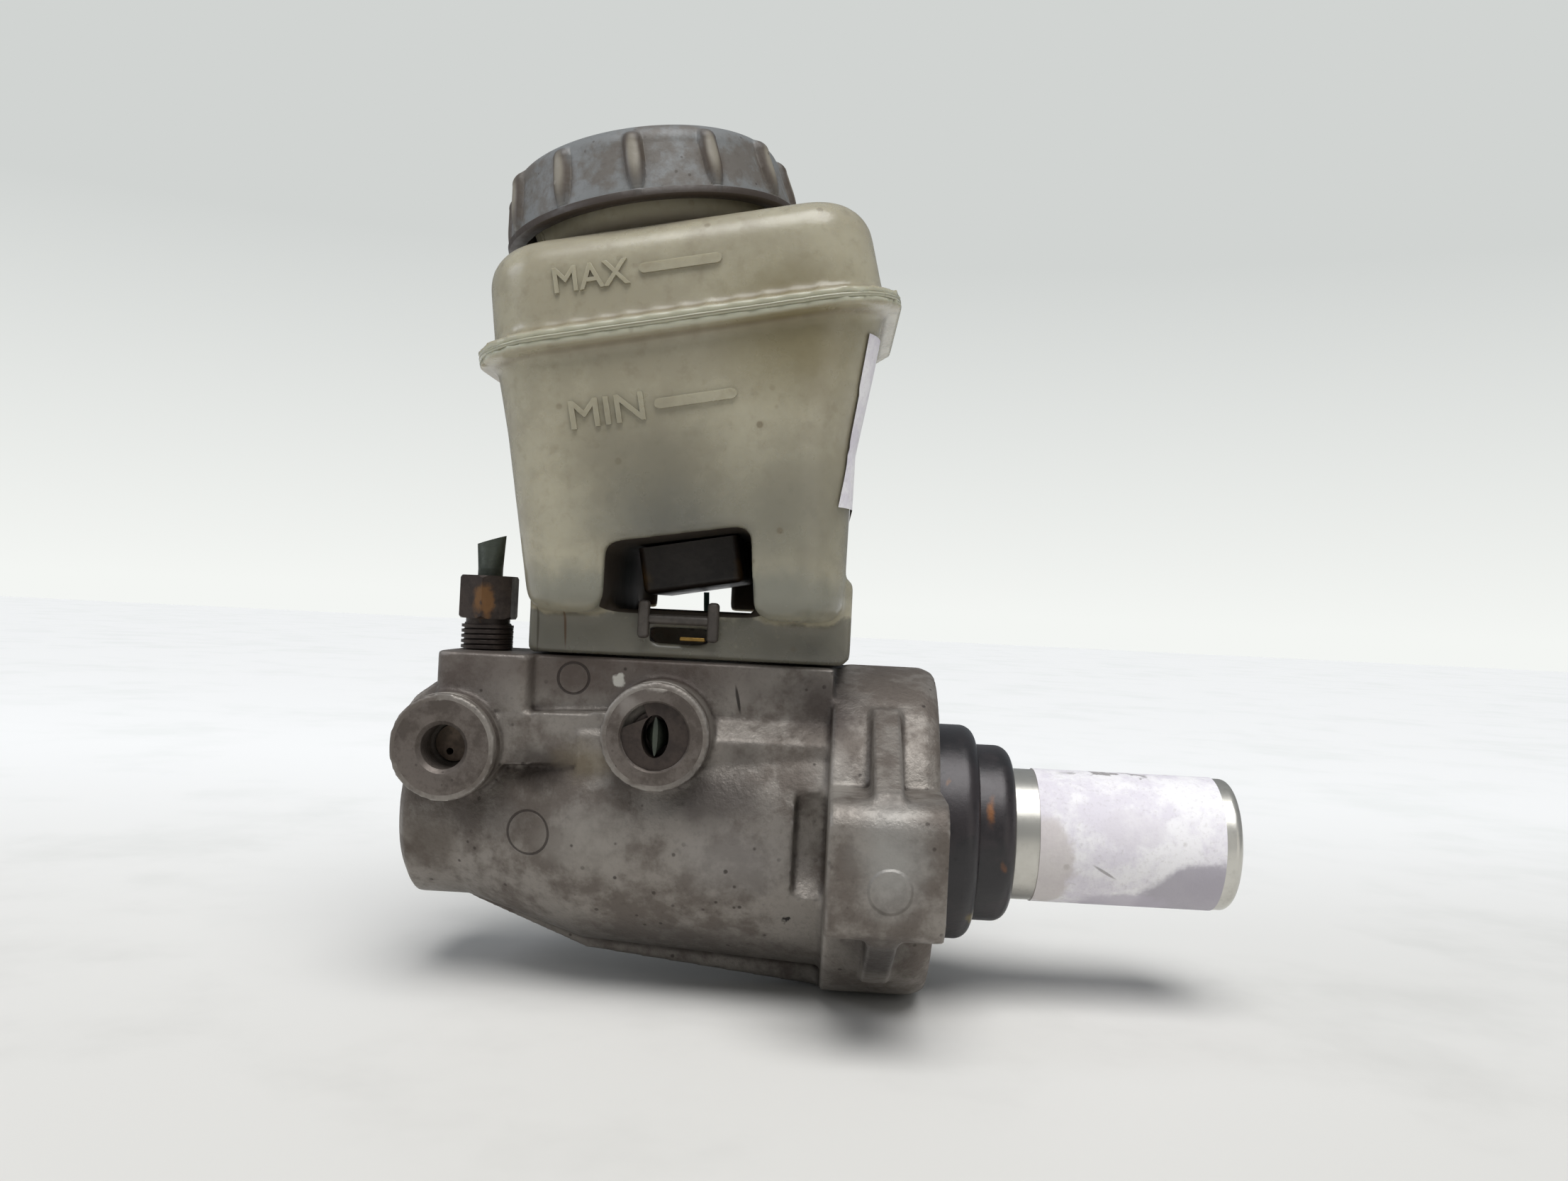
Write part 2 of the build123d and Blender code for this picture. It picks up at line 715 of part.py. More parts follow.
cage_head_x = cage_cap_x - cage_wall - 0.1
with BuildPart() as retainer_screw:
    with BuildSketch(across(cage_head_x - cage_head_t)):
        Circle(cage_head_r)
    extrude(amount=cage_head_t)
    with BuildSketch(across(cage_head_x)):
        Circle(cage_screw_r)
    extrude(amount=primary_hollow_x + cage_screw_grip - cage_head_x)
    with BuildSketch(across(cage_head_x - cage_head_t)):
        Rectangle(2 * cage_head_r, 0.9)
    extrude(amount=1.0, mode=Mode.SUBTRACT)
retainer_screw.part.label = "retainer_screw"
export_step(retainer_screw.part, "parts/retainer_screw.step")


# ================================================================ grommets
def grommet(inlet_x):
    """Rubber sleeve in a deck seat, round an outlet of the reservoir."""
    with BuildPart() as piece:
        with BuildSketch(Plane.XY.offset(deck_z - grommet_seat_depth + seat_gap)):
            with Locations((inlet_x, 0)):
                Circle(grommet_r)
        extrude(amount=grommet_seat_depth)
        fillet(piece.faces().sort_by(Axis.Z)[-1].edges(), 0.8)
        with BuildSketch(Plane.XY.offset(spigot_end_z - seat_gap)):
            with Locations((inlet_x, 0)):
                Circle(spigot_r + seat_gap)
        extrude(amount=grommet_seat_depth, mode=Mode.SUBTRACT)
        with BuildSketch(Plane.XY.offset(deck_z)):
            with Locations((inlet_x, 0)):
                Circle(spigot_bore_r)
        extrude(amount=-grommet_seat_depth, mode=Mode.SUBTRACT)
    return piece


front_grommet = grommet(front_inlet_x)
front_grommet.part.label = "front_grommet"
export_step(front_grommet.part, "parts/front_grommet.step")
rear_grommet = grommet(rear_inlet_x)
rear_grommet.part.label = "rear_grommet"
export_step(rear_grommet.part, "parts/rear_grommet.step")


# ================================================================ reservoir, lower shell
def lower_form(inset, with_tunnel=True):
    """Lower shell as a solid form, set in by inset on every side, without its flange."""
    with BuildPart() as form:
        with BuildSketch(tank):
            RectangleRounded(
                2 * (shell_half_length - inset), 2 * (shell_half_width - inset), shell_corner - inset
            )
        with BuildSketch(Plane.XY.offset(knee_z)):
            with Locations(((knee_left_x + knee_right_x) / 2, 0)):
                RectangleRounded(
                    knee_right_x - knee_left_x - 2 * inset, 2 * (knee_half_width - inset),
                    shell_corner - inset,
                )
        loft(ruled=True)
        with BuildSketch(Plane.XY.offset(knee_z)):
            with Locations(((knee_left_x + knee_right_x) / 2, 0)):
                RectangleRounded(
                    knee_right_x - knee_left_x - 2 * inset, 2 * (knee_half_width - inset),
                    shell_corner - inset,
                )
        with BuildSketch(Plane.XY.offset(lobe_z + inset)):
            with Locations(((lobe_left_x + lobe_right_x) / 2, 0)):
                RectangleRounded(
                    lobe_right_x - lobe_left_x - 2 * inset, 2 * (lobe_half_width - inset),
                    lobe_corner - inset,
                )
        loft(ruled=True)
        if with_tunnel:
            with BuildSketch(Plane.XZ):
                with BuildLine():
                    Polyline(
                        (tunnel_left_x - inset, lobe_z - 5),
                        (tunnel_left_x - inset, tunnel_roof_left_z + inset),
                        (tunnel_right_x - 1.2 + inset, tunnel_roof_right_z + inset),
                        (tunnel_right_x + inset, lobe_z - 5),
                        close=True,
                    )
                make_face()
                roof_corners = vertices().group_by(Axis.Y)[1] + vertices().group_by(Axis.Y)[2]
                fillet(roof_corners, tunnel_round + inset)
            extrude(amount=2 * shell_half_width, both=True, mode=Mode.SUBTRACT)
    return form


outer_form = lower_form(0.0)
lobe_edges = outer_form.faces().filter_by(Plane.XY).sort_by(Axis.Z)[0:2].edges()
rounded_lobes = fillet(lobe_edges, lobe_round)
inner_form = lower_form(wall)

with BuildPart() as reservoir_lower:
    add(rounded_lobes)
    # skirt that stands on the deck
    with BuildSketch(Plane.XZ):
        with BuildLine():
            Polyline(
                (skirt_left_x, skirt_bottom_z),
                (skirt_left_x, skirt_top_z),
                (skirt_right_x, skirt_top_z),
                (skirt_right_x, skirt_bottom_z + 1.6),
                (skirt_right_x - 1.6, skirt_bottom_z),
                close=True,
            )
        make_face()
    extrude(amount=skirt_half_width, both=True)
    skirt_room_x = (skirt_left_x + skirt_right_x) / 2
    with BuildSketch(Plane.XY.offset(skirt_bottom_z)):
        with Locations((skirt_room_x, 0)):
            Rectangle(
                skirt_right_x - skirt_left_x - 2 * skirt_wall, 2 * (skirt_half_width - skirt_wall)
            )
    extrude(amount=lobe_z - skirt_bottom_z, mode=Mode.SUBTRACT)
    # the tunnel passes over the skirt's two long walls and is open below, between them
    with BuildSketch(Plane.XZ):
        with BuildLine():
            Polyline(
                (tunnel_left_x, skirt_window_top_z),
                (tunnel_left_x, tunnel_roof_left_z - tunnel_round),
                (tunnel_left_x + tunnel_round, tunnel_roof_left_z),
                (tunnel_right_x - tunnel_round, tunnel_roof_right_z - 1.0),
                (tunnel_right_x - 1.0, tunnel_roof_right_z - tunnel_round - 1.0),
                (tunnel_right_x, skirt_window_top_z),
                close=True,
            )
        make_face()
    extrude(amount=2 * skirt_half_width, both=True, mode=Mode.SUBTRACT)
    with BuildSketch(Plane.XY.offset(skirt_bottom_z)):
        with Locations(((tunnel_left_x + tunnel_right_x) / 2, 0)):
            Rectangle(tunnel_right_x - tunnel_left_x, 2 * (skirt_half_width - skirt_wall))
    extrude(amount=skirt_window_top_z - skirt_bottom_z, mode=Mode.SUBTRACT)
    # slot behind the latch, in the near wall only
    with BuildSketch(Plane.XZ.offset(skirt_half_width + 1)):
        with Locations(((latch_slot[0] + latch_slot[1]) / 2, (latch_slot[2] + latch_slot[3]) / 2)):
            Rectangle(latch_slot[1] - latch_slot[0], latch_slot[3] - latch_slot[2])
    extrude(amount=-skirt_wall - 2, mode=Mode.SUBTRACT)
    # posts that narrow the far mouth
    for post_left_x, post_right_x in (
        (tunnel_left_x - wall, tunnel_far_left_x), (tunnel_far_right_x, tunnel_right_x + wall)
    ):
        with BuildSketch(Plane.XZ.offset(-lobe_half_width)):
            with Locations(
                ((post_left_x + post_right_x) / 2, (skirt_window_top_z + tunnel_roof_right_z) / 2)
            ):
                Rectangle(post_right_x - post_left_x, tunnel_roof_right_z - skirt_window_top_z)
        extrude(amount=lobe_half_width - switch_back_y - clear_gap)
    # weld flange
    with BuildSketch(tank):
        RectangleRounded(2 * flange_half_length, 2 * flange_half_width, flange_corner)
    extrude(amount=-flange_half_thickness)
    # room for the fluid
    add(inner_form.part, mode=Mode.SUBTRACT)
    # outlets and the float's guide post
    with BuildSketch(Plane.XY.offset(spigot_end_z)):
        with Locations((front_inlet_x, 0), (rear_inlet_x, 0)):
            Circle(spigot_r)
    extrude(amount=lobe_z + wall / 2 - spigot_end_z)
    with BuildSketch(Plane.XY.offset(spigot_end_z)):
        with Locations((front_inlet_x, 0), (rear_inlet_x, 0)):
            Circle(spigot_bore_r)
    extrude(amount=lobe_z + 2 * wall - spigot_end_z, mode=Mode.SUBTRACT)
    with BuildSketch(float_axis.offset(roof_w + wall / 2)):
        Circle(float_post_r)
    extrude(amount=float_post_top_w - roof_w - wall / 2)
reservoir_lower.part.label = "reservoir_lower"
export_step(reservoir_lower.part, "parts/reservoir_lower.step")


# ================================================================ reservoir, upper shell
def upper_form(inset):
    """Upper shell as a rounded solid form, set in by inset, without flange and neck."""
    with BuildPart() as form:
        with BuildSketch(tank):
            RectangleRounded(
                2 * (shell_half_length - inset), 2 * (shell_half_width - inset), shell_corner - inset
            )
        with BuildSketch(tank.offset(upper_height - inset)):
            RectangleRounded(
                2 * (shell_half_length - 1.0 - inset), 2 * (shell_half_width - 1.0 - inset),
                shell_corner - inset,
            )
        loft(ruled=True)
        top_face = form.faces().sort_by(Axis(tank.origin, tank.z_dir))[-1]
        fillet(top_face.edges(), upper_round - inset)
    return form


upper_solid = upper_form(0.0)
upper_room = upper_form(wall)
with BuildPart() as reservoir_upper:
    add(upper_solid.part)
    with BuildSketch(tank):
        RectangleRounded(2 * flange_half_length, 2 * flange_half_width, flange_corner)
    extrude(amount=flange_half_thickness)
    with BuildSketch(neck.offset(upper_height - wall)):
        Circle(neck_r)
    extrude(amount=neck_top_w - upper_height + wall)
    for bead_drop in neck_bead_drops:
        with BuildSketch(neck.offset(neck_top_w - bead_drop)):
            Circle(neck_r + neck_bead_proud)
        extrude(amount=neck_bead_width)
    add(upper_room.part, mode=Mode.SUBTRACT)
    with BuildSketch(neck.offset(upper_height / 2)):
        Circle(neck_bore_r)
    extrude(amount=neck_top_w, mode=Mode.SUBTRACT)
reservoir_upper.part.label = "reservoir_upper"
export_step(reservoir_upper.part, "parts/reservoir_upper.step")

# ================================================================ filler cap
neck_axis = Axis(neck_centre, tank.z_dir)
neck_side = Plane(origin=neck_centre, x_dir=tank.x_dir, z_dir=(0, -1, 0))
cap_inner_r = cap_r - cap_lip_proud - cap_wall
with BuildPart() as filler_cap:
    with BuildSketch(neck_side):
        with BuildLine():
            Polyline(
                (0, cap_top_w - cap_lid),
                (cap_top_r - cap_wall, cap_top_w - cap_lid),
                (cap_inner_r, cap_rim_w),
                (cap_r, cap_rim_w),
                (cap_r, cap_rim_w + cap_lip),
                (cap_r - cap_lip_proud, cap_rim_w + cap_lip + 0.5),
                (cap_top_r, cap_top_w - cap_edge),
            )
            RadiusArc((cap_top_r, cap_top_w - cap_edge), (cap_top_r - cap_edge, cap_top_w), -cap_edge)
            Polyline((cap_top_r - cap_edge, cap_top_w), (0, cap_top_w), (0, cap_top_w - cap_lid))
        make_face()
    revolve(axis=neck_axis)
    with BuildSketch(neck.offset(cap_rim_w + cap_lip + 0.9)):
        with PolarLocations(
            cap_top_r - cap_rib_proud, cap_rib_count, start_angle=cap_rib_phase - 90, rotate=True
        ):
            Rectangle(4 * cap_rib_proud, cap_rib_width)
    extrude(amount=cap_top_w - cap_rim_w - cap_lip - 0.9 - 0.55 * cap_edge)
    cap_room_height = cap_top_w - cap_lid - cap_rim_w
    add(
        Solid.make_cone(cap_inner_r, cap_top_r - cap_wall, cap_room_height, neck.offset(cap_rim_w)),
        mode=Mode.SUBTRACT,
    )
filler_cap.part.label = "filler_cap"
export_step(filler_cap.part, "parts/filler_cap.step")

# ================================================================ diaphragm and strainer
diaphragm_r = cap_top_r - cap_wall - clear_gap
dish_r = strainer_r - strainer_wall - 2 * clear_gap
crown_out_r = dish_r - 2 * diaphragm_slope - diaphragm_floor
crown_in_r = crown_out_r - diaphragm_crown
dish_floor_w = diaphragm_w - diaphragm_dish
crown_w = diaphragm_w - diaphragm_wall
with BuildPart() as cap_diaphragm:
    with BuildSketch(neck_side):
        with BuildLine():
            Polyline(
                (0, dish_floor_w),
                (crown_in_r - diaphragm_slope, dish_floor_w),
                (crown_in_r, crown_w),
                (crown_out_r, crown_w),
                (crown_out_r + diaphragm_slope, dish_floor_w),
                (dish_r - diaphragm_slope, dish_floor_w),
                (dish_r, diaphragm_w),
                (diaphragm_r, diaphragm_w),
                (diaphragm_r, diaphragm_w + diaphragm_t),
                (dish_r - diaphragm_wall, diaphragm_w + diaphragm_t),
                (dish_r - diaphragm_wall - diaphragm_slope, dish_floor_w + diaphragm_t),
                (crown_out_r + diaphragm_wall + diaphragm_slope, dish_floor_w + diaphragm_t),
                (crown_out_r + diaphragm_wall, crown_w + diaphragm_t),
                (crown_in_r - diaphragm_wall, crown_w + diaphragm_t),
                (crown_in_r - diaphragm_wall - diaphragm_slope, dish_floor_w + diaphragm_t),
                (0, dish_floor_w + diaphragm_t),
                close=True,
            )
        make_face()
    revolve(axis=neck_axis)
cap_diaphragm.part.label = "cap_diaphragm"
export_step(cap_diaphragm.part, "parts/cap_diaphragm.step")

with BuildPart() as strainer:
    with BuildSketch(neck.offset(neck_top_w + seat_gap)):
        Circle(neck_r)
    extrude(amount=strainer_flange_t)
    with BuildSketch(neck.offset(neck_top_w - strainer_depth)):
        Circle(strainer_r)
    extrude(amount=strainer_depth + seat_gap)
    with BuildSketch(neck.offset(neck_top_w - strainer_depth + strainer_wall)):
        Circle(strainer_r - strainer_wall)
    extrude(amount=strainer_depth + strainer_flange_t, mode=Mode.SUBTRACT)
    with BuildSketch(neck.offset(neck_top_w - strainer_depth + strainer_slot_sill)):
        with PolarLocations(strainer_r, strainer_slot_count):
            Rectangle(4 * strainer_wall, strainer_slot_width)
    extrude(amount=strainer_depth - 2.4 * strainer_slot_sill, mode=Mode.SUBTRACT)
strainer.part.label = "strainer"
export_step(strainer.part, "parts/strainer.step")

# ================================================================ float, magnet and level switch
with BuildPart() as level_float:
    with BuildSketch(float_axis.offset(float_rest_w)):
        Circle(float_r)
        Circle(float_bore_r, mode=Mode.SUBTRACT)
    extrude(amount=float_height)
    with BuildSketch(float_axis.offset(float_rest_w)):
        Circle(magnet_r + seat_gap)
    extrude(amount=magnet_height, mode=Mode.SUBTRACT)
level_float.part.label = "level_float"
export_step(level_float.part, "parts/level_float.step")

with BuildPart() as float_magnet:
    with BuildSketch(float_axis.offset(float_rest_w)):
        Circle(magnet_r)
        Circle(float_bore_r, mode=Mode.SUBTRACT)
    extrude(amount=magnet_height - seat_gap)
float_magnet.part.label = "float_magnet"
export_step(float_magnet.part, "parts/float_magnet.step")

switch_bottom_w = roof_w - clear_gap - switch_height
with BuildPart() as level_switch:
    with BuildSketch(tank.offset(switch_bottom_w)):
        with Locations(((switch_left_u + switch_right_u) / 2, (switch_front_y + switch_back_y) / 2)):
            RectangleRounded(
                switch_right_u - switch_left_u, switch_back_y - switch_front_y, switch_round / 2
            )
    extrude(amount=switch_height)
    fillet(level_switch.faces().sort_by(Axis(tank.origin, tank.z_dir))[0].edges(), switch_round / 2)
level_switch.part.label = "level_switch"
export_step(level_switch.part, "parts/level_switch.step")

latch_back_y = -skirt_half_width - 0.3
latch_top_z = skirt_window_top_z + 0.3
with BuildPart() as switch_latch:
    # two bars in front of the skirt, with hooks over its edge, and the bar across them
    for bar_x in (latch_left_x, latch_right_x - latch_bar):
        with BuildSketch(Plane.YZ.offset(bar_x)):
            with BuildLine():
                Polyline(
                    (latch_back_y, latch_slot[2] - 0.4),
                    (latch_back_y - latch_proud + 0.9, latch_slot[2] - 0.4),
                    (latch_back_y - latch_proud, latch_slot[2] + 0.5),
                    (latch_back_y - latch_proud, latch_top_z + 0.6),
                    (latch_back_y - latch_proud + 0.9, latch_top_z + 1.5),
                    (-skirt_half_width + skirt_wall + 1.6, latch_top_z + 1.5),
                    (-skirt_half_width + skirt_wall + 1.6, latch_top_z - 1.6),
                    (-skirt_half_width + skirt_wall + 0.3, latch_top_z - 1.6),
                    (-skirt_half_width + skirt_wall + 0.3, latch_top_z),
                    (latch_back_y, latch_top_z),
                    close=True,
                )
            make_face()
        extrude(amount=latch_bar)
    with BuildSketch(Plane.XZ.offset(-latch_back_y)):
        with Locations(((latch_left_x + latch_right_x) / 2, latch_cross_z + latch_bar / 2)):
            Rectangle(latch_right_x - latch_left_x, latch_bar)
    extrude(amount=latch_proud - 0.5)
switch_latch.part.label = "switch_latch"
export_step(switch_latch.part, "parts/switch_latch.step")

lead_exit = tank.from_local_coords(Vector(lead_u, lead_exit_y, switch_bottom_w - clear_gap))
lead_route = [lead_exit + Vector(*step) for step in lead_steps]
lead_bends = []
for before, corner, after in zip(lead_route, lead_route[1:], lead_route[2:]):
    run_in = corner - before
    run_out = after - corner
    half_turn = radians(run_in.get_angle(run_out)) / 2
    lead_bends.append(0.45 * min(run_in.length, run_out.length) / tan(half_turn))
with BuildPart() as switch_lead:
    with BuildLine():
        lead_path = FilletPolyline(*lead_route, radius=lead_bends)
    with BuildSketch(Plane(origin=lead_path @ 0, z_dir=lead_path % 0)):
        Circle(lead_r)
    sweep()
switch_lead.part.label = "switch_lead"
export_step(switch_lead.part, "parts/switch_lead.step")

# ================================================================ pipe nuts and cut pipes
top_mouth = Plane(origin=(top_port[0], top_port[1], deck_z), x_dir=(1, 0, 0), z_dir=(0, 0, 1))
rear_mouth = Plane(
    origin=(rear_port[0], rear_port_face_y, rear_port[1]), x_dir=(1, 0, 0), z_dir=(0, -1, 0)
)
flare_top = seat_height + seat_gap + flare_length - port_depth    # from the mouth of a port
with BuildPart() as top_pipe_nut:
    with BuildSketch(top_mouth.offset(top_nut_lift + nut_neck_length)):
        RegularPolygon(nut_hex / 2, 6, major_radius=False, rotation=30)
    extrude(amount=nut_hex_length)
    turned_blank = Solid.make_cylinder(
        nut_hex * 0.575, nut_hex_length, top_mouth.offset(top_nut_lift + nut_neck_length)
    )
    turned_rims = turned_blank.edges().filter_by(GeomType.CIRCLE)
    add(turned_blank.chamfer(0.5, None, turned_rims), mode=Mode.INTERSECT)
    with BuildSketch(top_mouth.offset(top_nut_lift)):
        Circle(nut_neck_r)
    extrude(amount=nut_neck_length)
    with BuildSketch(top_mouth.offset(flare_top + seat_gap)):
        Circle(nut_thread_r)
    extrude(amount=top_nut_lift - flare_top - seat_gap)
    for crest in range(int(top_nut_lift / nut_pitch)):
        with BuildSketch(top_mouth.offset(top_nut_lift - (crest + 0.85) * nut_pitch)):
            Circle(nut_crest_r)
        extrude(amount=nut_pitch * 0.55)
    with BuildSketch(top_mouth.offset(flare_top)):
        Circle(nut_bore_r)
    extrude(amount=top_pipe_reach - flare_top, mode=Mode.SUBTRACT)
top_pipe_nut.part.label = "top_pipe_nut"
export_step(top_pipe_nut.part, "parts/top_pipe_nut.step")

with BuildPart() as broken_pipe_nut:
    with BuildSketch(rear_mouth.offset(-rear_sink_depth + seat_gap)):
        Circle(rear_sink_r - seat_gap)
        with Locations((-rear_sink_r * 0.75, rear_sink_r * 0.75)):
            Rectangle(rear_sink_r * 0.8, rear_sink_r * 0.8, rotation=24, mode=Mode.SUBTRACT)
    extrude(amount=stump_height - seat_gap)
    with BuildSketch(rear_mouth.offset(flare_top - rear_sink_depth + seat_gap)):
        Circle(nut_thread_r)
    extrude(amount=-flare_top)
    with BuildSketch(rear_mouth.offset(flare_top - rear_sink_depth)):
        Circle(nut_bore_r)
    extrude(amount=-flare_top + stump_height, mode=Mode.SUBTRACT)
    with BuildSketch(rear_mouth):
        Ellipse(nut_bore_r + seat_gap, rear_pinch[1] + clear_gap)
    extrude(amount=rear_pipe_reach - pinch_length, mode=Mode.SUBTRACT)
broken_pipe_nut.part.label = "broken_pipe_nut"
export_step(broken_pipe_nut.part, "parts/broken_pipe_nut.step")


def cut_pipe(mouth, seat_top, reach, slant, pinch):
    """Pipe from its flare on the seat out to an end squeezed flat by cutters."""
    tip = mouth.offset(reach)
    tip_plane = Plane(
        origin=tip.origin,
        x_dir=tip.x_dir * cos(radians(slant)) + tip.z_dir * sin(radians(slant)),
        z_dir=tip.z_dir * cos(radians(slant)) - tip.x_dir * sin(radians(slant)),
    )
    with BuildPart() as pipe:
        with BuildSketch(mouth.offset(seat_top)):
            Circle(flare_r)
        extrude(amount=flare_length)
        with BuildSketch(mouth.offset(seat_top)):
            Circle(pipe_r)
        extrude(amount=reach - pinch_length - seat_top)
        with BuildSketch(mouth.offset(reach - pinch_length)):
            Circle(pipe_r)
        with BuildSketch(tip_plane):
            Ellipse(*pinch)
        loft(ruled=True)
        with BuildSketch(mouth.offset(seat_top)):
            Circle(pipe_bore_r)
        extrude(amount=reach - pinch_length - seat_top, mode=Mode.SUBTRACT)
    return pipe


top_pipe_stub = cut_pipe(
    top_mouth, flare_top - flare_length, top_pipe_reach, top_pipe_slant, top_pinch
)
top_pipe_stub.part.label = "top_pipe_stub"
export_step(top_pipe_stub.part, "parts/top_pipe_stub.step")
rear_pipe_stub = cut_pipe(
    rear_mouth, flare_top - flare_length - rear_sink_depth, rear_pipe_reach, 0.0, rear_pinch
)
rear_pipe_stub.part.label = "rear_pipe_stub"
export_step(rear_pipe_stub.part, "parts/rear_pipe_stub.step")

# ================================================================ paper labels
# the paper is torn away along the far side of the plunger
open_y = 2 * plunger_r * cos(radians(180 - plunger_label_round / 2))
open_z = 2 * plunger_r * sin(radians(180 - plunger_label_round / 2))
with BuildPart() as plunger_label:
    with BuildSketch(across(plunger_label_left_x)):
        Circle(plunger_r + paper)
        Circle(plunger_r, mode=Mode.SUBTRACT)
        with BuildLine():
            Polyline((0, 0), (open_y, -open_z), (open_y, open_z), close=True)
        make_face(mode=Mode.SUBTRACT)
    extrude(amount=plunger_label_right_x - plunger_label_left_x)
plunger_label.part.label = "plunger_label"
export_step(plunger_label.part, "parts/plunger_label.step")

label_outside = lower_form(-paper - 0.02, with_tunnel=False)
label_inside = lower_form(-0.02, with_tunnel=False)
with BuildPart() as reservoir_label:
    add(label_outside.part)
    add(label_inside.part, mode=Mode.SUBTRACT)
    with BuildSketch(Plane.XZ.offset(-tank_label_far_y)):
        with BuildLine():
            Polyline(
                (tank_label_left_x, tank_label_bottom_z),
                (tank_label_left_x + tank_label_lean, tank_z + 3.0),
                (tank_x + flange_half_length, tank_z + 3.5),
                (tank_x + flange_half_length, tank_label_bottom_z),
                close=True,
            )
        make_face()
    extrude(amount=tank_label_far_y - tank_label_near_y, mode=Mode.INTERSECT)
reservoir_label.part.label = "reservoir_label"
export_step(reservoir_label.part, "parts/reservoir_label.step")
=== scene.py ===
"""Looks of a tandem brake master cylinder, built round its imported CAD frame.

Tables hold millimetres in the row frame: +X along the bore towards the push rod, +Z up,
-Y towards the side with the pipe bosses. Meshes are made in metres.
"""

import json
import logging
import math
from dataclasses import dataclass
from enum import Enum
from typing import Callable, Sequence

import bpy
import numpy as np
from mathutils import Matrix, Vector
from mathutils.bvhtree import BVHTree


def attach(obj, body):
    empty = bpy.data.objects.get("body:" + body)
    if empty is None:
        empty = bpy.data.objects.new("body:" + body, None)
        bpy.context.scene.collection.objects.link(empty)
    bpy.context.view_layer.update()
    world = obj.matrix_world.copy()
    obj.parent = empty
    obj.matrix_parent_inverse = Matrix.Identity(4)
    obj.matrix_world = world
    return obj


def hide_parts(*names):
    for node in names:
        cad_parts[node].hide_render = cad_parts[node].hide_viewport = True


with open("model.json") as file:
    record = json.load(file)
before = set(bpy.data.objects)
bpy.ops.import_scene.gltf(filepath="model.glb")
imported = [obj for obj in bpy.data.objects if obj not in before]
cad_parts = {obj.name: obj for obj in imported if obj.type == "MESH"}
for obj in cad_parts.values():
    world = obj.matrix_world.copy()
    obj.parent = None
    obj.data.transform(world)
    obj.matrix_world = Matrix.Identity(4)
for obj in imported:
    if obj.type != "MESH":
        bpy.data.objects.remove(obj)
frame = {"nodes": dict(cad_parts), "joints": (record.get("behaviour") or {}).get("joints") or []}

LOG = logging.getLogger("master_cylinder")
MM = 0.001
BOX_SQUARINGS = 2             # how often a boxy patch's scaled offset is squared, for stains and painted shade alike
STAIN_AND_LIGHT_WOBBLE = (6.0, 3.0)     # size and reach of the noise that moves the edges of stains and of painted shade and highlights, in mm
PATCH_NOISE = (0.43, 0.58)    # noise at which patches start and are full
GRAIN_NOISE = (0.5, 0.75)     # noise at which the grain starts to darken and is darkest
HOLLOW_POINT = (0.495, 0.44)  # pointiness at which dirt in corners starts and is full
WORN_POINT = (0.52, 0.58)     # pointiness at which wear of edges starts and is full
LATHE_SCALE = 2500.0          # lathe marks in a metre
DISC_EDGE = 0.7               # soft rim of a raised disc, in mm
RING_LINE = (0.28, 0.12)      # distance from a ring where its line starts and is full, in mm
NEAR_SIDE_Y = (-15.0, -17.0)  # Y where marks of the near side fade in, in mm
RAY_FROM = 0.1                # distance from which rays look for a shell, in metres
RELIEF_SUNK = 0.15            # how far raised marks reach into a shell, in mm
RELIEF_DEPTH = 0.75           # their whole depth, in mm
Vec3 = tuple[float, float, float]
Socket = bpy.types.NodeSocket


class Body(Enum):
    """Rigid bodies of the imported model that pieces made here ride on."""

    HOUSING = "housing"
    CAP = "cap"


# ------------------------------------------------------------------ colour and shader nodes
def linear(hex_code: str) -> tuple[float, float, float, float]:
    """Linear RGBA of an sRGB hex code.

    Args:
        hex_code: six hex digits.
    Returns:
        Linear red, green and blue with an alpha of 1.
    """
    channels = [int(hex_code[i : i + 2], 16) / 255 for i in (0, 2, 4)]
    curve = [c / 12.92 if c <= 0.04045 else ((c + 0.055) / 1.055) ** 2.4 for c in channels]
    return curve[0], curve[1], curve[2], 1.0


@dataclass(frozen=True)
class StainOrPaintedLight:
    """A soft-edged patch of another colour, placed in the row frame, for real stains and for painted shade
    and highlights.

    One with a lean, in degrees about Y, isn't pushed about by noise, so its edges are clean. A boxy
    one fills its box, where others are ellipsoids.
    """

    centre: Vec3
    radii: Vec3
    colour: str
    amount: float = 1.0
    edge: float = 0.5
    lean: float = 0.0
    boxy: bool = False


@dataclass(frozen=True)
class Ring:
    """A thin dark ring, or a low raised disc, that an ejector pin leaves on a casting's near side."""

    x: float
    z: float
    radius: float
    raised: bool = False


@dataclass(frozen=True)
class Finish:
    """What a surface is made of and how it has aged, with some painted shade and highlights among its
    stains.
    """

    name: str
    base: str
    patch: str
    grime: str
    metallic: float = 0.0
    roughness: tuple[float, float] = (0.45, 0.65)
    patch_mm: float = 18.0
    patch_amount: float = 0.8
    grain_mm: float = 1.2
    grain_height: float = 0.1
    speck_mm: float = 4.0
    speck_amount: float = 0.0
    cavity: float = 0.0
    wear: str = ""
    wear_amount: float = 0.0
    subsurface: float = 0.0
    coat: float = 0.0
    lathe_axis: str = ""
    dull_dirt: float = 0.0
    stains_and_painted_light: tuple[StainOrPaintedLight, ...] = ()
    rings: tuple[Ring, ...] = ()


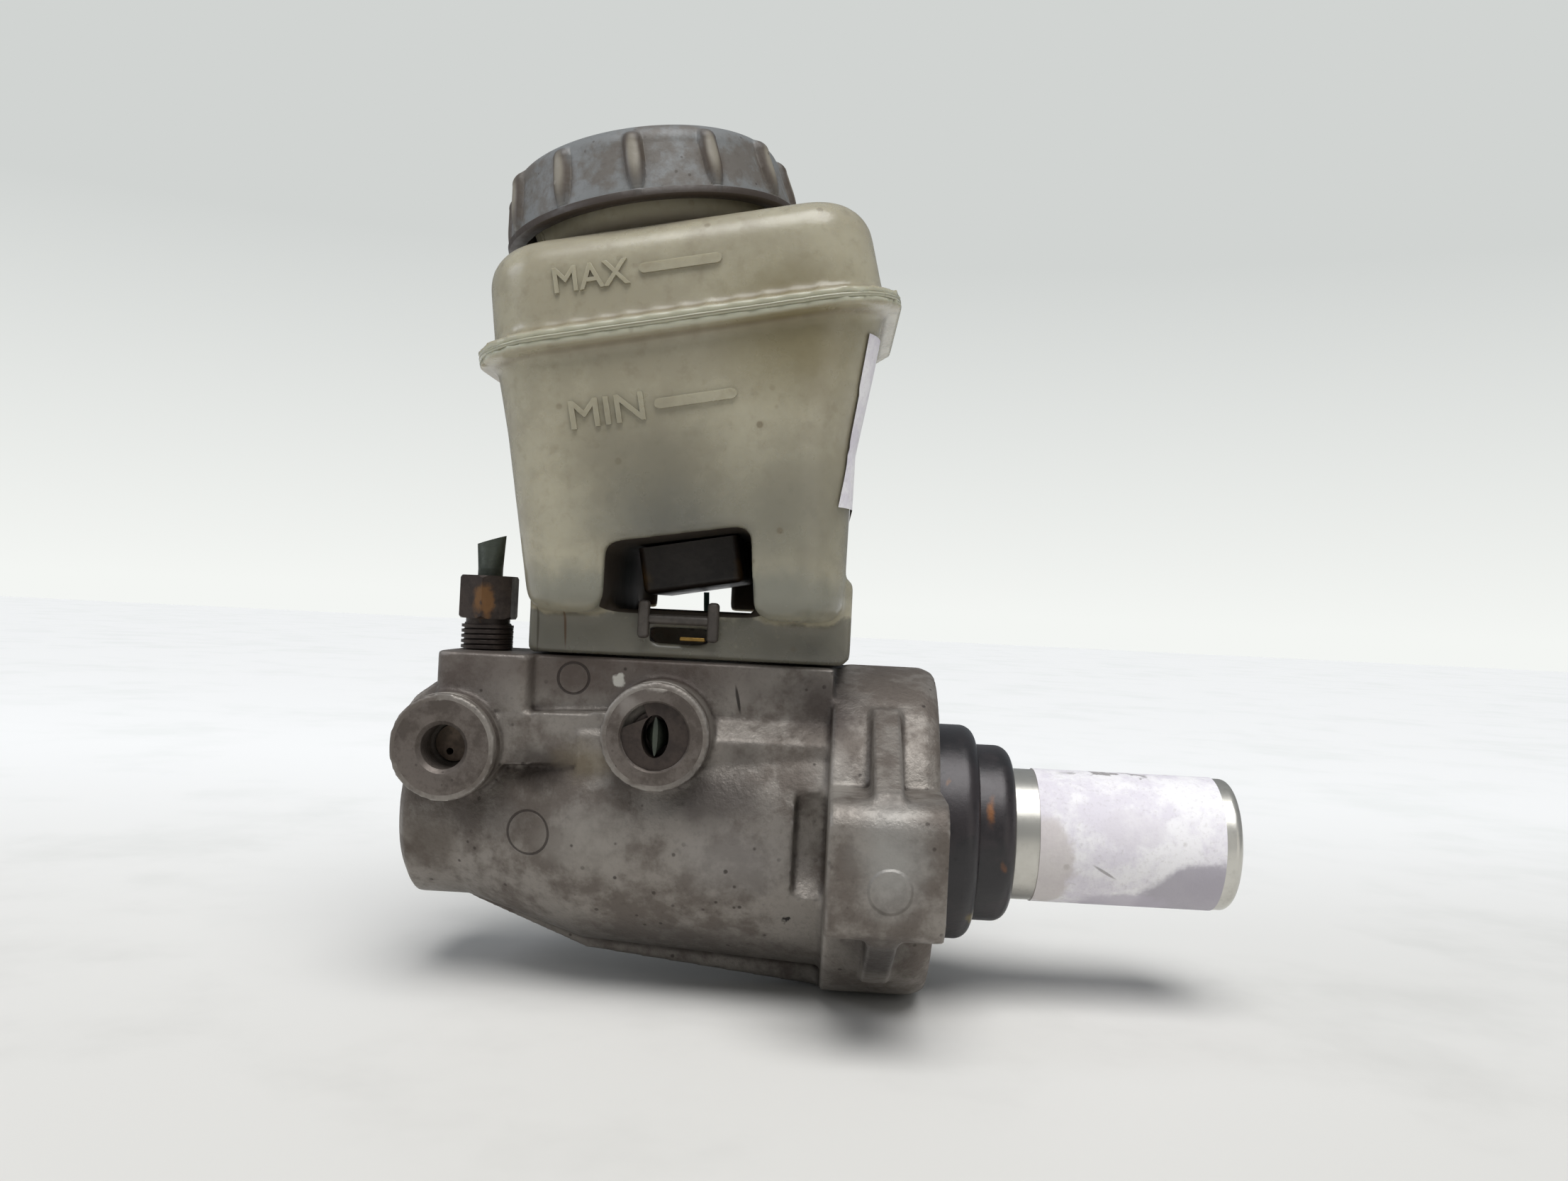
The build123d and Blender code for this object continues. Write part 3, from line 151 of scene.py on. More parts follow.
class Painter:
    """Builds the nodes of one material, or of the world, as expressions on sockets."""

    def __init__(self, owner: bpy.types.Material | bpy.types.World) -> None:
        owner.use_nodes = True
        self.tree = owner.node_tree
        self.tree.nodes.clear()
        self.space = self.add("ShaderNodeTexCoord").outputs["Object"]

    def add(self, kind: str, inputs: dict | None = None, **settings: object) -> bpy.types.Node:
        """Adds a node; all nodes come from here.

        Args:
            kind: the node's type.
            inputs: values or sockets, by input name or index.
            settings: attributes of the node.
        Returns:
            The node.
        """
        made = self.tree.nodes.new(kind)
        for key, value in settings.items():
            setattr(made, key, value)
        for key, value in (inputs or {}).items():
            if isinstance(value, bpy.types.NodeSocket):
                self.tree.links.new(value, made.inputs[key])
            else:
                made.inputs[key].default_value = value
        return made

    def noise(self, size_mm: float, detail: float = 4.0, rough: float = 0.55) -> Socket:
        """Noise from 0 to 1 with features of about size_mm."""
        made = self.add(
            "ShaderNodeTexNoise",
            {"Vector": self.space, "Scale": 1000 / size_mm, "Detail": detail, "Roughness": rough},
        )
        return made.outputs[0]

    def cells(self, size_mm: float) -> Socket:
        """Distance to the nearest of scattered points, in cell sizes."""
        made = self.add("ShaderNodeTexVoronoi", {"Vector": self.space, "Scale": 1000 / size_mm})
        return made.outputs["Distance"]

    def step(self, value: Socket, low: float, high: float) -> Socket:
        """Smooth step from 0 at low to 1 at high; low may be the larger."""
        made = self.add(
            "ShaderNodeMapRange",
            {"Value": value, "From Min": low, "From Max": high},
            interpolation_type="SMOOTHSTEP",
        )
        return made.outputs[0]

    def calc(self, operation: str, a: Socket | float, b: Socket | float = 0.0) -> Socket:
        """One arithmetic step."""
        return self.add("ShaderNodeMath", {0: a, 1: b}, operation=operation).outputs[0]

    def times(self, a: Socket | float, b: Socket | float) -> Socket:
        """Product of two values."""
        return self.calc("MULTIPLY", a, b)

    def blend(self, a: Socket, share_a: float, b: Socket, share_b: float) -> Socket:
        """Weighted sum of two values."""
        return self.calc("ADD", self.times(a, share_a), self.times(b, share_b))

    def mix(self, factor: Socket | float, a: object, b: object) -> Socket:
        """Colour a where factor is 0, b where it is 1; hex codes or sockets."""
        ends = {6: linear(a) if isinstance(a, str) else a, 7: linear(b) if isinstance(b, str) else b}
        return self.add("ShaderNodeMix", {0: factor, **ends}, data_type="RGBA").outputs[2]

    def vector(self, operation: str, *inputs: object) -> Socket:
        """One step of vector arithmetic."""
        return self.add("ShaderNodeVectorMath", dict(enumerate(inputs)), operation=operation).outputs[0]

    def length(self, vector: Socket) -> Socket:
        """Length of a vector."""
        return self.add("ShaderNodeVectorMath", {0: vector}, operation="LENGTH").outputs["Value"]

    def wobble(self, size_mm: float, reach_mm: float) -> Socket:
        """The row-frame position, pushed about by noise so that edges look natural."""
        noise = self.add(
            "ShaderNodeTexNoise",
            {"Vector": self.space, "Scale": 1000 / size_mm, "Detail": 4.0, "Roughness": 0.6},
        )
        centred = self.vector("SUBTRACT", noise.outputs["Color"], (0.5, 0.5, 0.5))
        return self.vector("MULTIPLY_ADD", centred, (2 * reach_mm * MM,) * 3, self.space)

    def spot(self, position: Socket, stain_or_light: StainOrPaintedLight) -> Socket:
        """Mask of a stain or of a patch of painted light: 1 inside, fading to 0 at its radii."""
        offset = self.vector("SUBTRACT", position, tuple(c * MM for c in stain_or_light.centre))
        level = self.add(
            "ShaderNodeVectorRotate",
            {"Vector": offset, "Angle": math.radians(stain_or_light.lean)},
            rotation_type="Y_AXIS",
        )
        scaled = self.vector("MULTIPLY", level.outputs[0], tuple(1 / (r * MM) for r in stain_or_light.radii))
        for _ in range(BOX_SQUARINGS if stain_or_light.boxy else 0):
            scaled = self.vector("MULTIPLY", scaled, scaled)
        inside = self.step(self.length(scaled), 1.0, 1.0 - stain_or_light.edge)
        return self.times(inside, stain_or_light.amount)

    def ring(self, ring: Ring) -> Socket:
        """Mask of an ejector mark on the near side."""
        offset = self.vector("SUBTRACT", self.space, (ring.x * MM, 0, ring.z * MM))
        length = self.length(self.vector("MULTIPLY", offset, (1000, 0, 1000)))
        if ring.raised:
            shape = self.step(length, ring.radius, ring.radius - DISC_EDGE)
        else:
            away = self.calc("ABSOLUTE", self.calc("SUBTRACT", length, ring.radius))
            shape = self.step(away, *RING_LINE)
        near = self.step(self.axis("Y"), *(y * MM for y in NEAR_SIDE_Y))
        return self.times(shape, near)

    def axis(self, letter: str) -> Socket:
        """One coordinate of the row frame, in metres."""
        return self.add("ShaderNodeSeparateXYZ", {0: self.space}).outputs[letter]

    def pointiness(self) -> Socket:
        """About 0.5 on flat parts, more on edges and less in corners."""
        return self.add("ShaderNodeNewGeometry").outputs["Pointiness"]

    def close(self, colour: Socket, roughness: Socket, height: Socket, finish: Finish) -> None:
        """Joins everything in a Principled surface."""
        bump = self.add(
            "ShaderNodeBump", {"Height": height, "Strength": 1.0, "Distance": finish.grain_height * MM}
        )
        shader = self.add(
            "ShaderNodeBsdfPrincipled",
            {
                "Base Color": colour,
                "Roughness": roughness,
                "Metallic": finish.metallic,
                "Normal": bump.outputs[0],
                "Subsurface Weight": finish.subsurface,
                "Subsurface Radius": (1.0, 0.75, 0.4),
                "Subsurface Scale": 0.004,
                "Coat Weight": finish.coat,
                "Coat Roughness": 0.3,
            },
        )
        self.add("ShaderNodeOutputMaterial", {"Surface": shader.outputs[0]})


def aged_with_painted_light(p: Painter, finish: Finish, patches: Socket, fine: Socket, middle: Socket) -> Socket:
    """Colour of a finish with its patches, stains, painted shade and highlights, specks, dirty corners and
    worn edges.

    Args:
        p: the material's painter.
        finish: colours, ageing, stains and painted light.
        patches: where the second colour shows.
        fine: noise of the grain.
        middle: noise between grain and patches.
    Returns:
        The colour.
    """
    colour = p.mix(patches, finish.base, finish.patch)
    dark = p.mix(0.5, colour, finish.grime)
    colour = p.mix(p.times(p.step(fine, *GRAIN_NOISE), 0.35), colour, dark)
    if finish.stains_and_painted_light:
        position = p.wobble(*STAIN_AND_LIGHT_WOBBLE)
        for stain_or_light in finish.stains_and_painted_light:
            colour = p.mix(p.spot(p.space if stain_or_light.lean else position, stain_or_light), colour, stain_or_light.colour)
    if finish.speck_amount > 0:
        dots = p.step(p.cells(finish.speck_mm), 0.16, 0.08)
        chance = p.step(p.noise(finish.speck_mm * 4, 2), 0.45, 0.6)
        colour = p.mix(p.times(p.times(dots, chance), finish.speck_amount), colour, finish.grime)
    if finish.cavity > 0:
        edge = p.pointiness()
        hollow = p.times(p.step(edge, *HOLLOW_POINT), finish.cavity)
        colour = p.mix(hollow, colour, finish.grime)
        if finish.wear:
            worn = p.times(p.step(edge, *WORN_POINT), p.step(middle, 0.4, 0.55))
            colour = p.mix(p.times(worn, finish.wear_amount), colour, finish.wear)
    return colour


def lathe_marks(p: Painter, axis: str) -> Socket:
    """Noise that varies only along one axis, as a lathe tool leaves it."""
    along = p.vector("MULTIPLY", p.space, tuple(float(letter == axis) for letter in "XYZ"))
    made = p.add("ShaderNodeTexNoise", {"Vector": along, "Scale": LATHE_SCALE, "Detail": 4.0})
    return made.outputs[0]


def paint(finish: Finish) -> bpy.types.Material:
    """Makes the material of a finish.

    Args:
        finish: colours, ageing, stains and painted light.
    Returns:
        A node material in row-frame coordinates.
    """
    material = bpy.data.materials.new(finish.name)
    p = Painter(material)
    broad = p.noise(finish.patch_mm, 5, 0.6)
    fine = p.noise(finish.grain_mm, 3, 0.6)
    middle = p.noise(finish.patch_mm / 5, 5, 0.65)
    patches = p.times(p.step(p.blend(broad, 0.7, middle, 0.3), *PATCH_NOISE), finish.patch_amount)
    colour = aged_with_painted_light(p, finish, patches, fine, middle)
    height = p.blend(fine, 0.7, middle, 0.9)
    for ring in finish.rings:
        mark = p.ring(ring)
        if ring.raised:
            height = p.calc("ADD", height, p.times(mark, 2.0))
        else:
            colour = p.mix(p.times(mark, 0.75), colour, finish.grime)
            height = p.calc("SUBTRACT", height, mark)
    if finish.lathe_axis:
        height = p.calc("ADD", height, p.times(lathe_marks(p, finish.lathe_axis), 0.6))
    low, high = finish.roughness
    rough = p.calc("ADD", low, p.times(p.blend(patches, 0.6, fine, 0.4), high - low))
    if finish.dull_dirt > 0:
        grey = p.add("ShaderNodeRGBToBW", {0: colour}).outputs[0]
        rough = p.calc("ADD", rough, p.times(p.step(grey, 0.12, 0.02), finish.dull_dirt))
    p.close(colour, rough, height, finish)
    return material


# ------------------------------------------------------------------ finishes
@dataclass(frozen=True)
class Tilt:
    """Local frame of the leaning reservoir: u along it, y across, w upward."""

    x: float = -49.2
    z: float = 92.2
    degrees: float = 10.5

    def point(self, u: float, y: float, w: float) -> Vec3:
        """Row-frame point, in mm, of a local one."""
        c, s = math.cos(math.radians(self.degrees)), math.sin(math.radians(self.degrees))
        return self.x + u * c - w * s, y, self.z + u * s + w * c


TILT = Tilt()
NECK_U = -6.1           # place of the neck's axis along the reservoir
CAP_RIBS = 12
CAP_PHASE_DEG = 1.8     # angle of the first rib from the near side
RIB_CREST_R = 28.3


CAST = Finish(
    "cast_aluminium", base="857f78", patch="5a514a", grime="2c2420", metallic=0.45,
    roughness=(0.42, 0.68),
    patch_mm=15, patch_amount=0.8, grain_mm=0.9, grain_height=0.18, speck_mm=3.2, speck_amount=0.8,
    cavity=0.85, wear="aaa6a1", wear_amount=0.6,
    stains_and_painted_light=(
        # set-back deck wall darker: painted shade
        StainOrPaintedLight((-60, -19, 30), (34, 8, 9), "564b45", 0.7, 0.6),
        StainOrPaintedLight((-88, -14, 26), (14, 16, 12), "524844", 0.6, 0.6),
        StainOrPaintedLight((-21, -22, 26), (12, 12, 9), "38302d", 0.75, 0.7),
        StainOrPaintedLight((-41, -27, 8), (12, 8, 9), "3a3230", 0.65, 0.7),
        # between the bosses: painted shadow, with some grime
        StainOrPaintedLight((-73, -22, 11), (9, 8, 6), "2f2722", 0.75, 0.7),
        StainOrPaintedLight((-84, -20, 2), (13, 14, 7), "4b4440", 0.5, 0.7),
        # lower side of the barrel darker: painted shade
        StainOrPaintedLight((-50, -18, -24), (50, 24, 10), "4a4541", 0.7, 0.7),
        # below the ear's lower edge: painted shade
        StainOrPaintedLight((-10, -40, -18), (14, 20, 10), "3a3532", 0.9, 0.6),
        StainOrPaintedLight((-95, -20, -5), (8, 16, 8), "514840", 0.7, 0.7),
        StainOrPaintedLight((-20, -32, 12), (6, 16, 11), "a09b94", 0.6, 0.6),
        StainOrPaintedLight((-64, -26, -2), (13, 10, 9), "8f8a83", 0.55, 0.7),
        StainOrPaintedLight((-36, -26, 14), (7, 8, 7), "352d29", 0.5, 0.8),
        StainOrPaintedLight((-33, -24, 27), (10, 8, 8), "3a302b", 0.7, 0.7),
        StainOrPaintedLight((-59.2, -19, 27.2), (1.5, 2, 1.3), "c9c6bd", 0.9, 0.4),
        StainOrPaintedLight((-26.5, -26, -14), (0.9, 6, 0.8), "191412", 1.0, 0.3),
        StainOrPaintedLight((-37.2, -20, 25), (0.4, 9, 3.4), "231c19", 0.9, 0.5, lean=12),
        StainOrPaintedLight((-64, -22, 13), (8, 6, 5), "7d7156", 0.4, 0.8),
        StainOrPaintedLight((-36, -26, -4), (16, 9, 9), "8d8985", 0.5, 0.8),
        StainOrPaintedLight((-76, -20, -22), (12, 14, 7), "8f8983", 0.5, 0.8),
        StainOrPaintedLight((-9, -46, 3), (9, 9, 14), "9a9995", 0.6, 0.8),
    ),
    rings=(Ring(-68.0, 27.5, 2.9), Ring(-74.5, -1.0, 4.0), Ring(-9.2, -2.5, 3.9, True)),
)
TURNED = Finish(
    "turned_aluminium", base="69615b", patch="504842", grime="2a2420", metallic=0.5,
    roughness=(0.38, 0.58),
    patch_mm=7, patch_amount=0.9, grain_mm=0.6, grain_height=0.05, speck_mm=2.0, speck_amount=0.5,
    stains_and_painted_light=(
        # top edges of both boss rims lighter: painted highlights
        StainOrPaintedLight((-89.7, -25, 24.4), (9, 3, 1.6), "b0aaa2", 0.8, 0.5),
        StainOrPaintedLight((-51, -28, 28.4), (9, 3, 1.6), "b0aaa2", 0.8, 0.5),
        StainOrPaintedLight((-56, -30, 24), (3, 2, 3), "96908a", 0.6, 0.8),
    ),
)
BLACK_STEEL = Finish(
    "black_steel", base="252325", patch="332d2f", grime="131112", metallic=0.3, roughness=(0.28, 0.5),
    patch_mm=14, grain_mm=0.8, grain_height=0.05, speck_mm=2.6, speck_amount=0.5, coat=0.2,
    stains_and_painted_light=(
        StainOrPaintedLight((10.5, -17, 7), (1.6, 2.5, 4.2), "8a5626", 0.8, 0.8),
        StainOrPaintedLight((2.5, -20, 12), (1.2, 3, 1.0), "77502c", 0.7, 0.7),
        StainOrPaintedLight((8.0, -14, -14), (1.0, 3, 2.4), "8b7a3c", 0.6, 0.7),
        StainOrPaintedLight((13.5, -15, -3), (1.0, 3, 1.4), "6e4424", 0.6, 0.7),
    ),
)
PLUNGER = Finish(
    "satin_plunger", base="cac8c1", patch="b4b1a9", grime="66625b", metallic=0.8,
    roughness=(0.26, 0.38),
    patch_mm=30, patch_amount=0.5, grain_mm=2.0, grain_height=0.012, lathe_axis="X",
)
TANK = Finish(
    "tank_plastic", base="aaa48f", patch="968f7b", grime="5a4a30", roughness=(0.22, 0.36), patch_mm=34,
    patch_amount=0.8, grain_mm=2.4, grain_height=0.05, speck_mm=5.0, speck_amount=0.5, subsurface=0.15,
    cavity=0.5, dull_dirt=0.5,
    stains_and_painted_light=(
        StainOrPaintedLight((-30, -29, 92), (20, 16, 18), "7d7354", 0.85, 0.9),
        # lower shell darker towards its middle and right: painted shade, partly grime
        StainOrPaintedLight((-53, -28, 66), (22, 16, 16), "6f6b5d", 0.75, 0.9),
        StainOrPaintedLight((-50, -27, 56), (26, 16, 13), "5b5b54", 0.85, 0.95),
        StainOrPaintedLight((-29, -29, 58), (19, 16, 22), "6f6d61", 0.7, 0.95),
        StainOrPaintedLight((-46, -27, 44), (52, 14, 7), "74746a", 0.8, 0.6),
        StainOrPaintedLight((-46, -9, 30), (46, 10.3, 11.5), "5f5d54", 0.85, 0.3, boxy=True),
        StainOrPaintedLight((-20, -9, 33), (16, 12, 9), "403f3b", 0.7, 0.6),
        StainOrPaintedLight((-76, -9, 33), (9, 12, 8), "67655b", 0.7, 0.6),
        # right end of the lower shell darker: painted shade, partly grime
        StainOrPaintedLight((-14, -10, 60), (12, 30, 26), "757466", 0.7, 0.8),
        StainOrPaintedLight((-88, 0, 86), (6, 40, 7), "73603c", 0.6, 0.8),
        StainOrPaintedLight((-96, -10, 87), (5, 16, 6), "4c3d24", 0.8, 0.8),
        StainOrPaintedLight((-70.3, -17.5, 37.5), (0.3, 3, 5.5), "4a3114", 0.8, 0.5, lean=3),
        StainOrPaintedLight((-75.4, -17.5, 37), (0.3, 3, 6), "3a3226", 0.7, 0.5, lean=1),
        # neck under the cap darker: painted shadow, on the neck's own brownish tone
        StainOrPaintedLight((-58.8, 0, 110.5), (34, 34, 4.6), "756c5f", 0.9, 0.4, lean=TILT.degrees),
        StainOrPaintedLight(TILT.point(0, 0, 0), (70, 70, 1.9), "b2b29f", 0.75, 0.25, lean=TILT.degrees),
        StainOrPaintedLight(TILT.point(0, 0, 0), (70, 70, 0.3), "5b523c", 0.75, 0.6, lean=TILT.degrees),
        StainOrPaintedLight((-48.8, 0, 90.0), (70, 70, 0.7), "5c4a2c", 0.6, 0.9, lean=TILT.degrees),
        StainOrPaintedLight((-49.6, 0, 94.4), (70, 70, 0.6), "6b5a38", 0.45, 0.9, lean=TILT.degrees),
        # inside of the tunnel near black: painted shade, with a brown tint of dirt
        StainOrPaintedLight((-48.5, -0.3, 49.5), (16.6, 27.4, 9.5), "2a2014", 1.0, 0.06, lean=0.1, boxy=True),
        StainOrPaintedLight((-58.6, -16, 48), (2.4, 12, 5), "5a4526", 0.8, 0.8),
        # slot behind the latch: painted shade, near black
        StainOrPaintedLight((-48.9, -18, 36.3), (5.6, 3, 1.5), "1b1611", 1.0, 0.15, lean=0.1, boxy=True),
    ),
)


def rib_shade_and_highlight(size_mm: float, colour: str, amount: float) -> tuple[StainOrPaintedLight, ...]:
    """One upright mark on each rib of the cap, for the ribs' painted shade and dirt and for their painted
    highlights.
    """
    marks = []
    for rib in range(CAP_RIBS):
        angle = math.radians(360 / CAP_RIBS * rib + CAP_PHASE_DEG - 90)
        centre = TILT.point(
            RIB_CREST_R * math.cos(angle) + NECK_U, RIB_CREST_R * math.sin(angle), 31.0
        )
        marks.append(StainOrPaintedLight(centre, (size_mm, size_mm, 7.5), colour, amount, 0.6, TILT.degrees))
    return tuple(marks)


CAP = Finish(
    "cap_plastic", base="787a7a", patch="615a52", grime="33271d", roughness=(0.42, 0.62), patch_mm=9,
    grain_mm=1.3, grain_height=0.07, speck_mm=2.4, speck_amount=0.6, cavity=0.95, wear="928d84",
    wear_amount=0.7,
    stains_and_painted_light=(
        StainOrPaintedLight((-80, -12, 100), (14, 22, 12), "4c3e32", 0.6, 0.8),
        # dark marks round each rib: painted shadow of the rib, with dirt
        *rib_shade_and_highlight(3.6, "453729", 0.75),
        StainOrPaintedLight(TILT.point(NECK_U, 0, 27.4), (31, 31, 2.2), "3d3025", 0.8, 0.8, lean=TILT.degrees),
        StainOrPaintedLight(TILT.point(NECK_U, 0, 35.6), (31, 31, 1.4), "4a3c30", 0.6, 0.9, lean=TILT.degrees),
        StainOrPaintedLight(TILT.point(NECK_U, 0, 24.3), (31, 31, 0.9), "8a8479", 0.8, 0.5, lean=TILT.degrees),
        # narrow light marks on the rib crests: painted highlights
        *rib_shade_and_highlight(1.5, "918b7e", 0.85),
    ),
)
NUT = Finish(
    "nut_steel", base="453c37", patch="352e2b", grime="1b1512", metallic=0.6,
    roughness=(0.35, 0.6), patch_mm=6,
    grain_mm=0.7, grain_height=0.05, speck_mm=1.6, speck_amount=0.4,
    stains_and_painted_light=(StainOrPaintedLight((-86.6, -13.6, 41.0), (3.2, 1.4, 4.6), "7d5a38", 0.85, 0.5),),
)
PIPE = Finish(
    "coated_pipe", base="41463c", patch="30352e", grime="1d1a14", metallic=0.3,
    roughness=(0.35, 0.6), patch_mm=5,
    grain_mm=0.8, grain_height=0.05, speck_mm=1.8, speck_amount=0.4,
)
SWITCH = Finish(
    "switch_plastic", base="282019", patch="1e1712", grime="120d09", roughness=(0.4, 0.6), patch_mm=8,
    grain_mm=0.9, grain_height=0.05, speck_mm=2.0, speck_amount=0.4,
    stains_and_painted_light=(
        StainOrPaintedLight((-60, -11, 46), (5, 5, 4), "6b5026", 0.6, 0.7),
        StainOrPaintedLight((-36, -10, 50), (4, 5, 5), "5d431f", 0.6, 0.7),
    ),
)
LATCH = Finish(
    "latch_plastic", base="4d4741", patch="3d3732", grime="211d19", roughness=(0.4, 0.6), patch_mm=5,
    grain_mm=0.8, grain_height=0.04, speck_mm=1.8, speck_amount=0.3,
)
GOLD = Finish(
    "contact_tab", base="9a7a3c", patch="7a5c28", grime="3a2a14", metallic=0.6,
    roughness=(0.35, 0.5), patch_mm=3,
    grain_mm=0.6, grain_height=0.03,
)
RUBBER = Finish(
    "seal_rubber", base="2a2928", patch="1f1e1e", grime="0f0f0f", roughness=(0.5, 0.7), patch_mm=6,
    grain_mm=0.6, grain_height=0.03,
)
SPRING = Finish(
    "spring_steel", base="8a8b8d", patch="74757a", grime="35322f", metallic=0.9,
    roughness=(0.3, 0.5), patch_mm=6,
    grain_mm=0.8, grain_height=0.03,
)
BRASS = Finish(
    "flare_seat", base="5d4f42", patch="483c31", grime="231b14", metallic=0.5,
    roughness=(0.3, 0.5), patch_mm=4,
    grain_mm=0.6, grain_height=0.03,
)
GUIDE = Finish(
    "guide_plastic", base="cfc8b4", patch="bbb39d", grime="70675a", roughness=(0.45, 0.6), patch_mm=8,
    grain_mm=1.0, grain_height=0.03,
)
FLOAT = Finish(
    "float_foam", base="3a3733", patch="2d2a27", grime="171513", roughness=(0.6, 0.8), patch_mm=6,
    grain_mm=0.8, grain_height=0.08,
)
FERRITE = Finish(
    "magnet_ferrite", base="3c3c40", patch="2f2f33", grime="1b1b1e", metallic=0.2, roughness=(0.4, 0.6),
    patch_mm=4, grain_mm=0.5, grain_height=0.04,
)
SHEATH = Finish(
    "lead_sheath", base="1f4a44", patch="183a36", grime="0d1f1d", roughness=(0.4, 0.55), patch_mm=4,
    grain_mm=0.6, grain_height=0.02,
)
PAPER = Finish(
    "torn_paper", base="f1eff1", patch="d8d2dd", grime="857b6f", roughness=(0.6, 0.8), patch_mm=13,
    patch_amount=0.7, grain_mm=0.7, grain_height=0.05, speck_mm=5, speck_amount=0.4,
    stains_and_painted_light=(
        # lower side of the plunger label greyer: painted shade
        StainOrPaintedLight((54, -8, -12), (15, 14, 12), "aaa5ae", 0.9, 0.15),
        StainOrPaintedLight((38, -8, -14), (12, 10, 6), "bdb7c2", 0.8, 0.3),
        StainOrPaintedLight((22, -10, -5), (6, 9, 12), "c9c1bd", 0.7, 0.25),
        StainOrPaintedLight((38, -12, 4), (7, 6, 4), "dcd7dd", 0.6, 0.3),
        StainOrPaintedLight((36, -4, 12.9), (12, 6, 0.7), "5b5450", 0.7, 0.5),
        StainOrPaintedLight((33, -12.5, -4.5), (3.2, 3, 0.35), "6a6460", 0.6, 0.5, lean=-30),
    ),
)
NODE_FINISH = {
    "cylinder_body": CAST, "flare_seats": BRASS, "guide_collar": BLACK_STEEL, "guide_bearing": GUIDE,
    "bearing_o_ring": RUBBER, "primary_cup": RUBBER, "separator_cup": RUBBER, "secondary_cup": RUBBER,
    "outer_seal": RUBBER, "circlip": SPRING, "primary_piston": PLUNGER, "secondary_piston": PLUNGER,
    "primary_spring": SPRING, "secondary_spring": SPRING, "spring_retainer": SPRING,
    "retainer_screw": SPRING,
    "front_grommet": RUBBER, "rear_grommet": RUBBER, "reservoir_lower": TANK, "reservoir_upper": TANK,
    "filler_cap": CAP, "cap_diaphragm": RUBBER, "strainer": GUIDE, "level_float": FLOAT,
    "float_magnet": FERRITE, "level_switch": SWITCH, "switch_latch": LATCH, "switch_lead": SHEATH,
    "top_pipe_nut": NUT, "broken_pipe_nut": NUT, "top_pipe_stub": PIPE, "rear_pipe_stub": PIPE,
    "plunger_label": PAPER, "reservoir_label": PAPER,
}


# ------------------------------------------------------------------ geometry helpers
class Kit:
    """Makes finished pieces and puts them on their bodies."""

    def __init__(self) -> None:
        self.materials: dict[str, bpy.types.Material] = {}

    def material(self, finish: Finish) -> bpy.types.Material:
        """Material of a finish, made once."""
        if finish.name not in self.materials:
            self.materials[finish.name] = paint(finish)
        return self.materials[finish.name]

    def place(
        self, name: str, mesh: bpy.types.Mesh, finish: Finish, body: Body, slot: str,
        smooth_deg: float = 40.0,
    ) -> bpy.types.Object:
        """Links a mesh, finishes it and lets it ride on a body."""
        made = bpy.data.objects.new(name, mesh)
        bpy.context.scene.collection.objects.link(made)
        mesh.materials.clear()
        mesh.materials.append(self.material(finish))
        soften(made, smooth_deg)
        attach(made, body.value)
        return made


def soften(obj: bpy.types.Object, degrees: float) -> None:
    """Shades an object smooth, with sharp edges above an angle."""
    obj.data.polygons.foreach_set("use_smooth", np.ones(len(obj.data.polygons), bool))
    obj.data.set_sharp_from_angle(angle=math.radians(degrees))


def grid_mesh(name: str, points: np.ndarray, wrap_u: bool, wrap_v: bool) -> bpy.types.Mesh:
    """Mesh of quads through a grid of points.

    Args:
        name: the mesh's name.
        points: array of shape (rows, columns, 3), in metres.
        wrap_u: join the last row to the first.
        wrap_v: join the last column to the first.
    Returns:
        The mesh.
    """
    rows, columns = points.shape[:2]
    index = np.arange(rows * columns).reshape(rows, columns)
    if wrap_u:
        index = np.vstack([index, index[:1]])
    if wrap_v:
        index = np.hstack([index, index[:, :1]])
    quads = np.stack([index[:-1, :-1], index[1:, :-1], index[1:, 1:], index[:-1, 1:]], -1).reshape(-1, 4)
    mesh = bpy.data.meshes.new(name)
    mesh.from_pydata(points.reshape(-1, 3).tolist(), [], quads.tolist())
    mesh.validate()
    return mesh


def turned(
    name: str, profile: Sequence[tuple[float, float]], origin: Vec3, along: Vec3, across: Vec3,
    count: int = 160, bulge: Callable[[np.ndarray, np.ndarray, np.ndarray], np.ndarray] | None = None,
) -> bpy.types.Mesh:
    """Surface of revolution.

    Args:
        name: the mesh's name.
        profile: radius and height pairs, in mm.
        origin: a point of the axis, in mm.
        along: the axis, of unit length.
        across: the direction of angle 0, square to the axis.
        count: points round the axis.
        bulge: radius added at (angle, height, radius), in mm.
    Returns:
        The mesh.
    """
    pairs = np.array(profile, float)
    angle = np.linspace(0, 2 * np.pi, count, endpoint=False)
    grid_a, grid_r = np.meshgrid(angle, pairs[:, 0], indexing="xy")
    grid_h = np.repeat(pairs[:, 1][:, None], count, 1)
    if bulge is not None:
        grid_r = grid_r + bulge(grid_a, grid_h, grid_r)
    w, u = np.array(along), np.array(across)
    v = np.cross(w, u)
    points = (
        np.array(origin)
        + grid_h[..., None] * w
        + (grid_r * np.cos(grid_a))[..., None] * u
        + (grid_r * np.sin(grid_a))[..., None] * v
    )
    return grid_mesh(name, points * MM, False, True)


def cad_copy(node: str) -> bpy.types.Object:
    """Copy of a CAD node as an object of its own."""
    mesh = frame["nodes"][node].data.copy()
    made = bpy.data.objects.new(f"{node}_copy", mesh)
    bpy.context.scene.collection.objects.link(made)
    return made


def cad_tree(node: str) -> BVHTree:
    """Search tree of a CAD node's faces, for rays."""
    mesh = frame["nodes"][node].data
    return BVHTree.FromPolygons([v.co for v in mesh.vertices], [p.vertices for p in mesh.polygons])


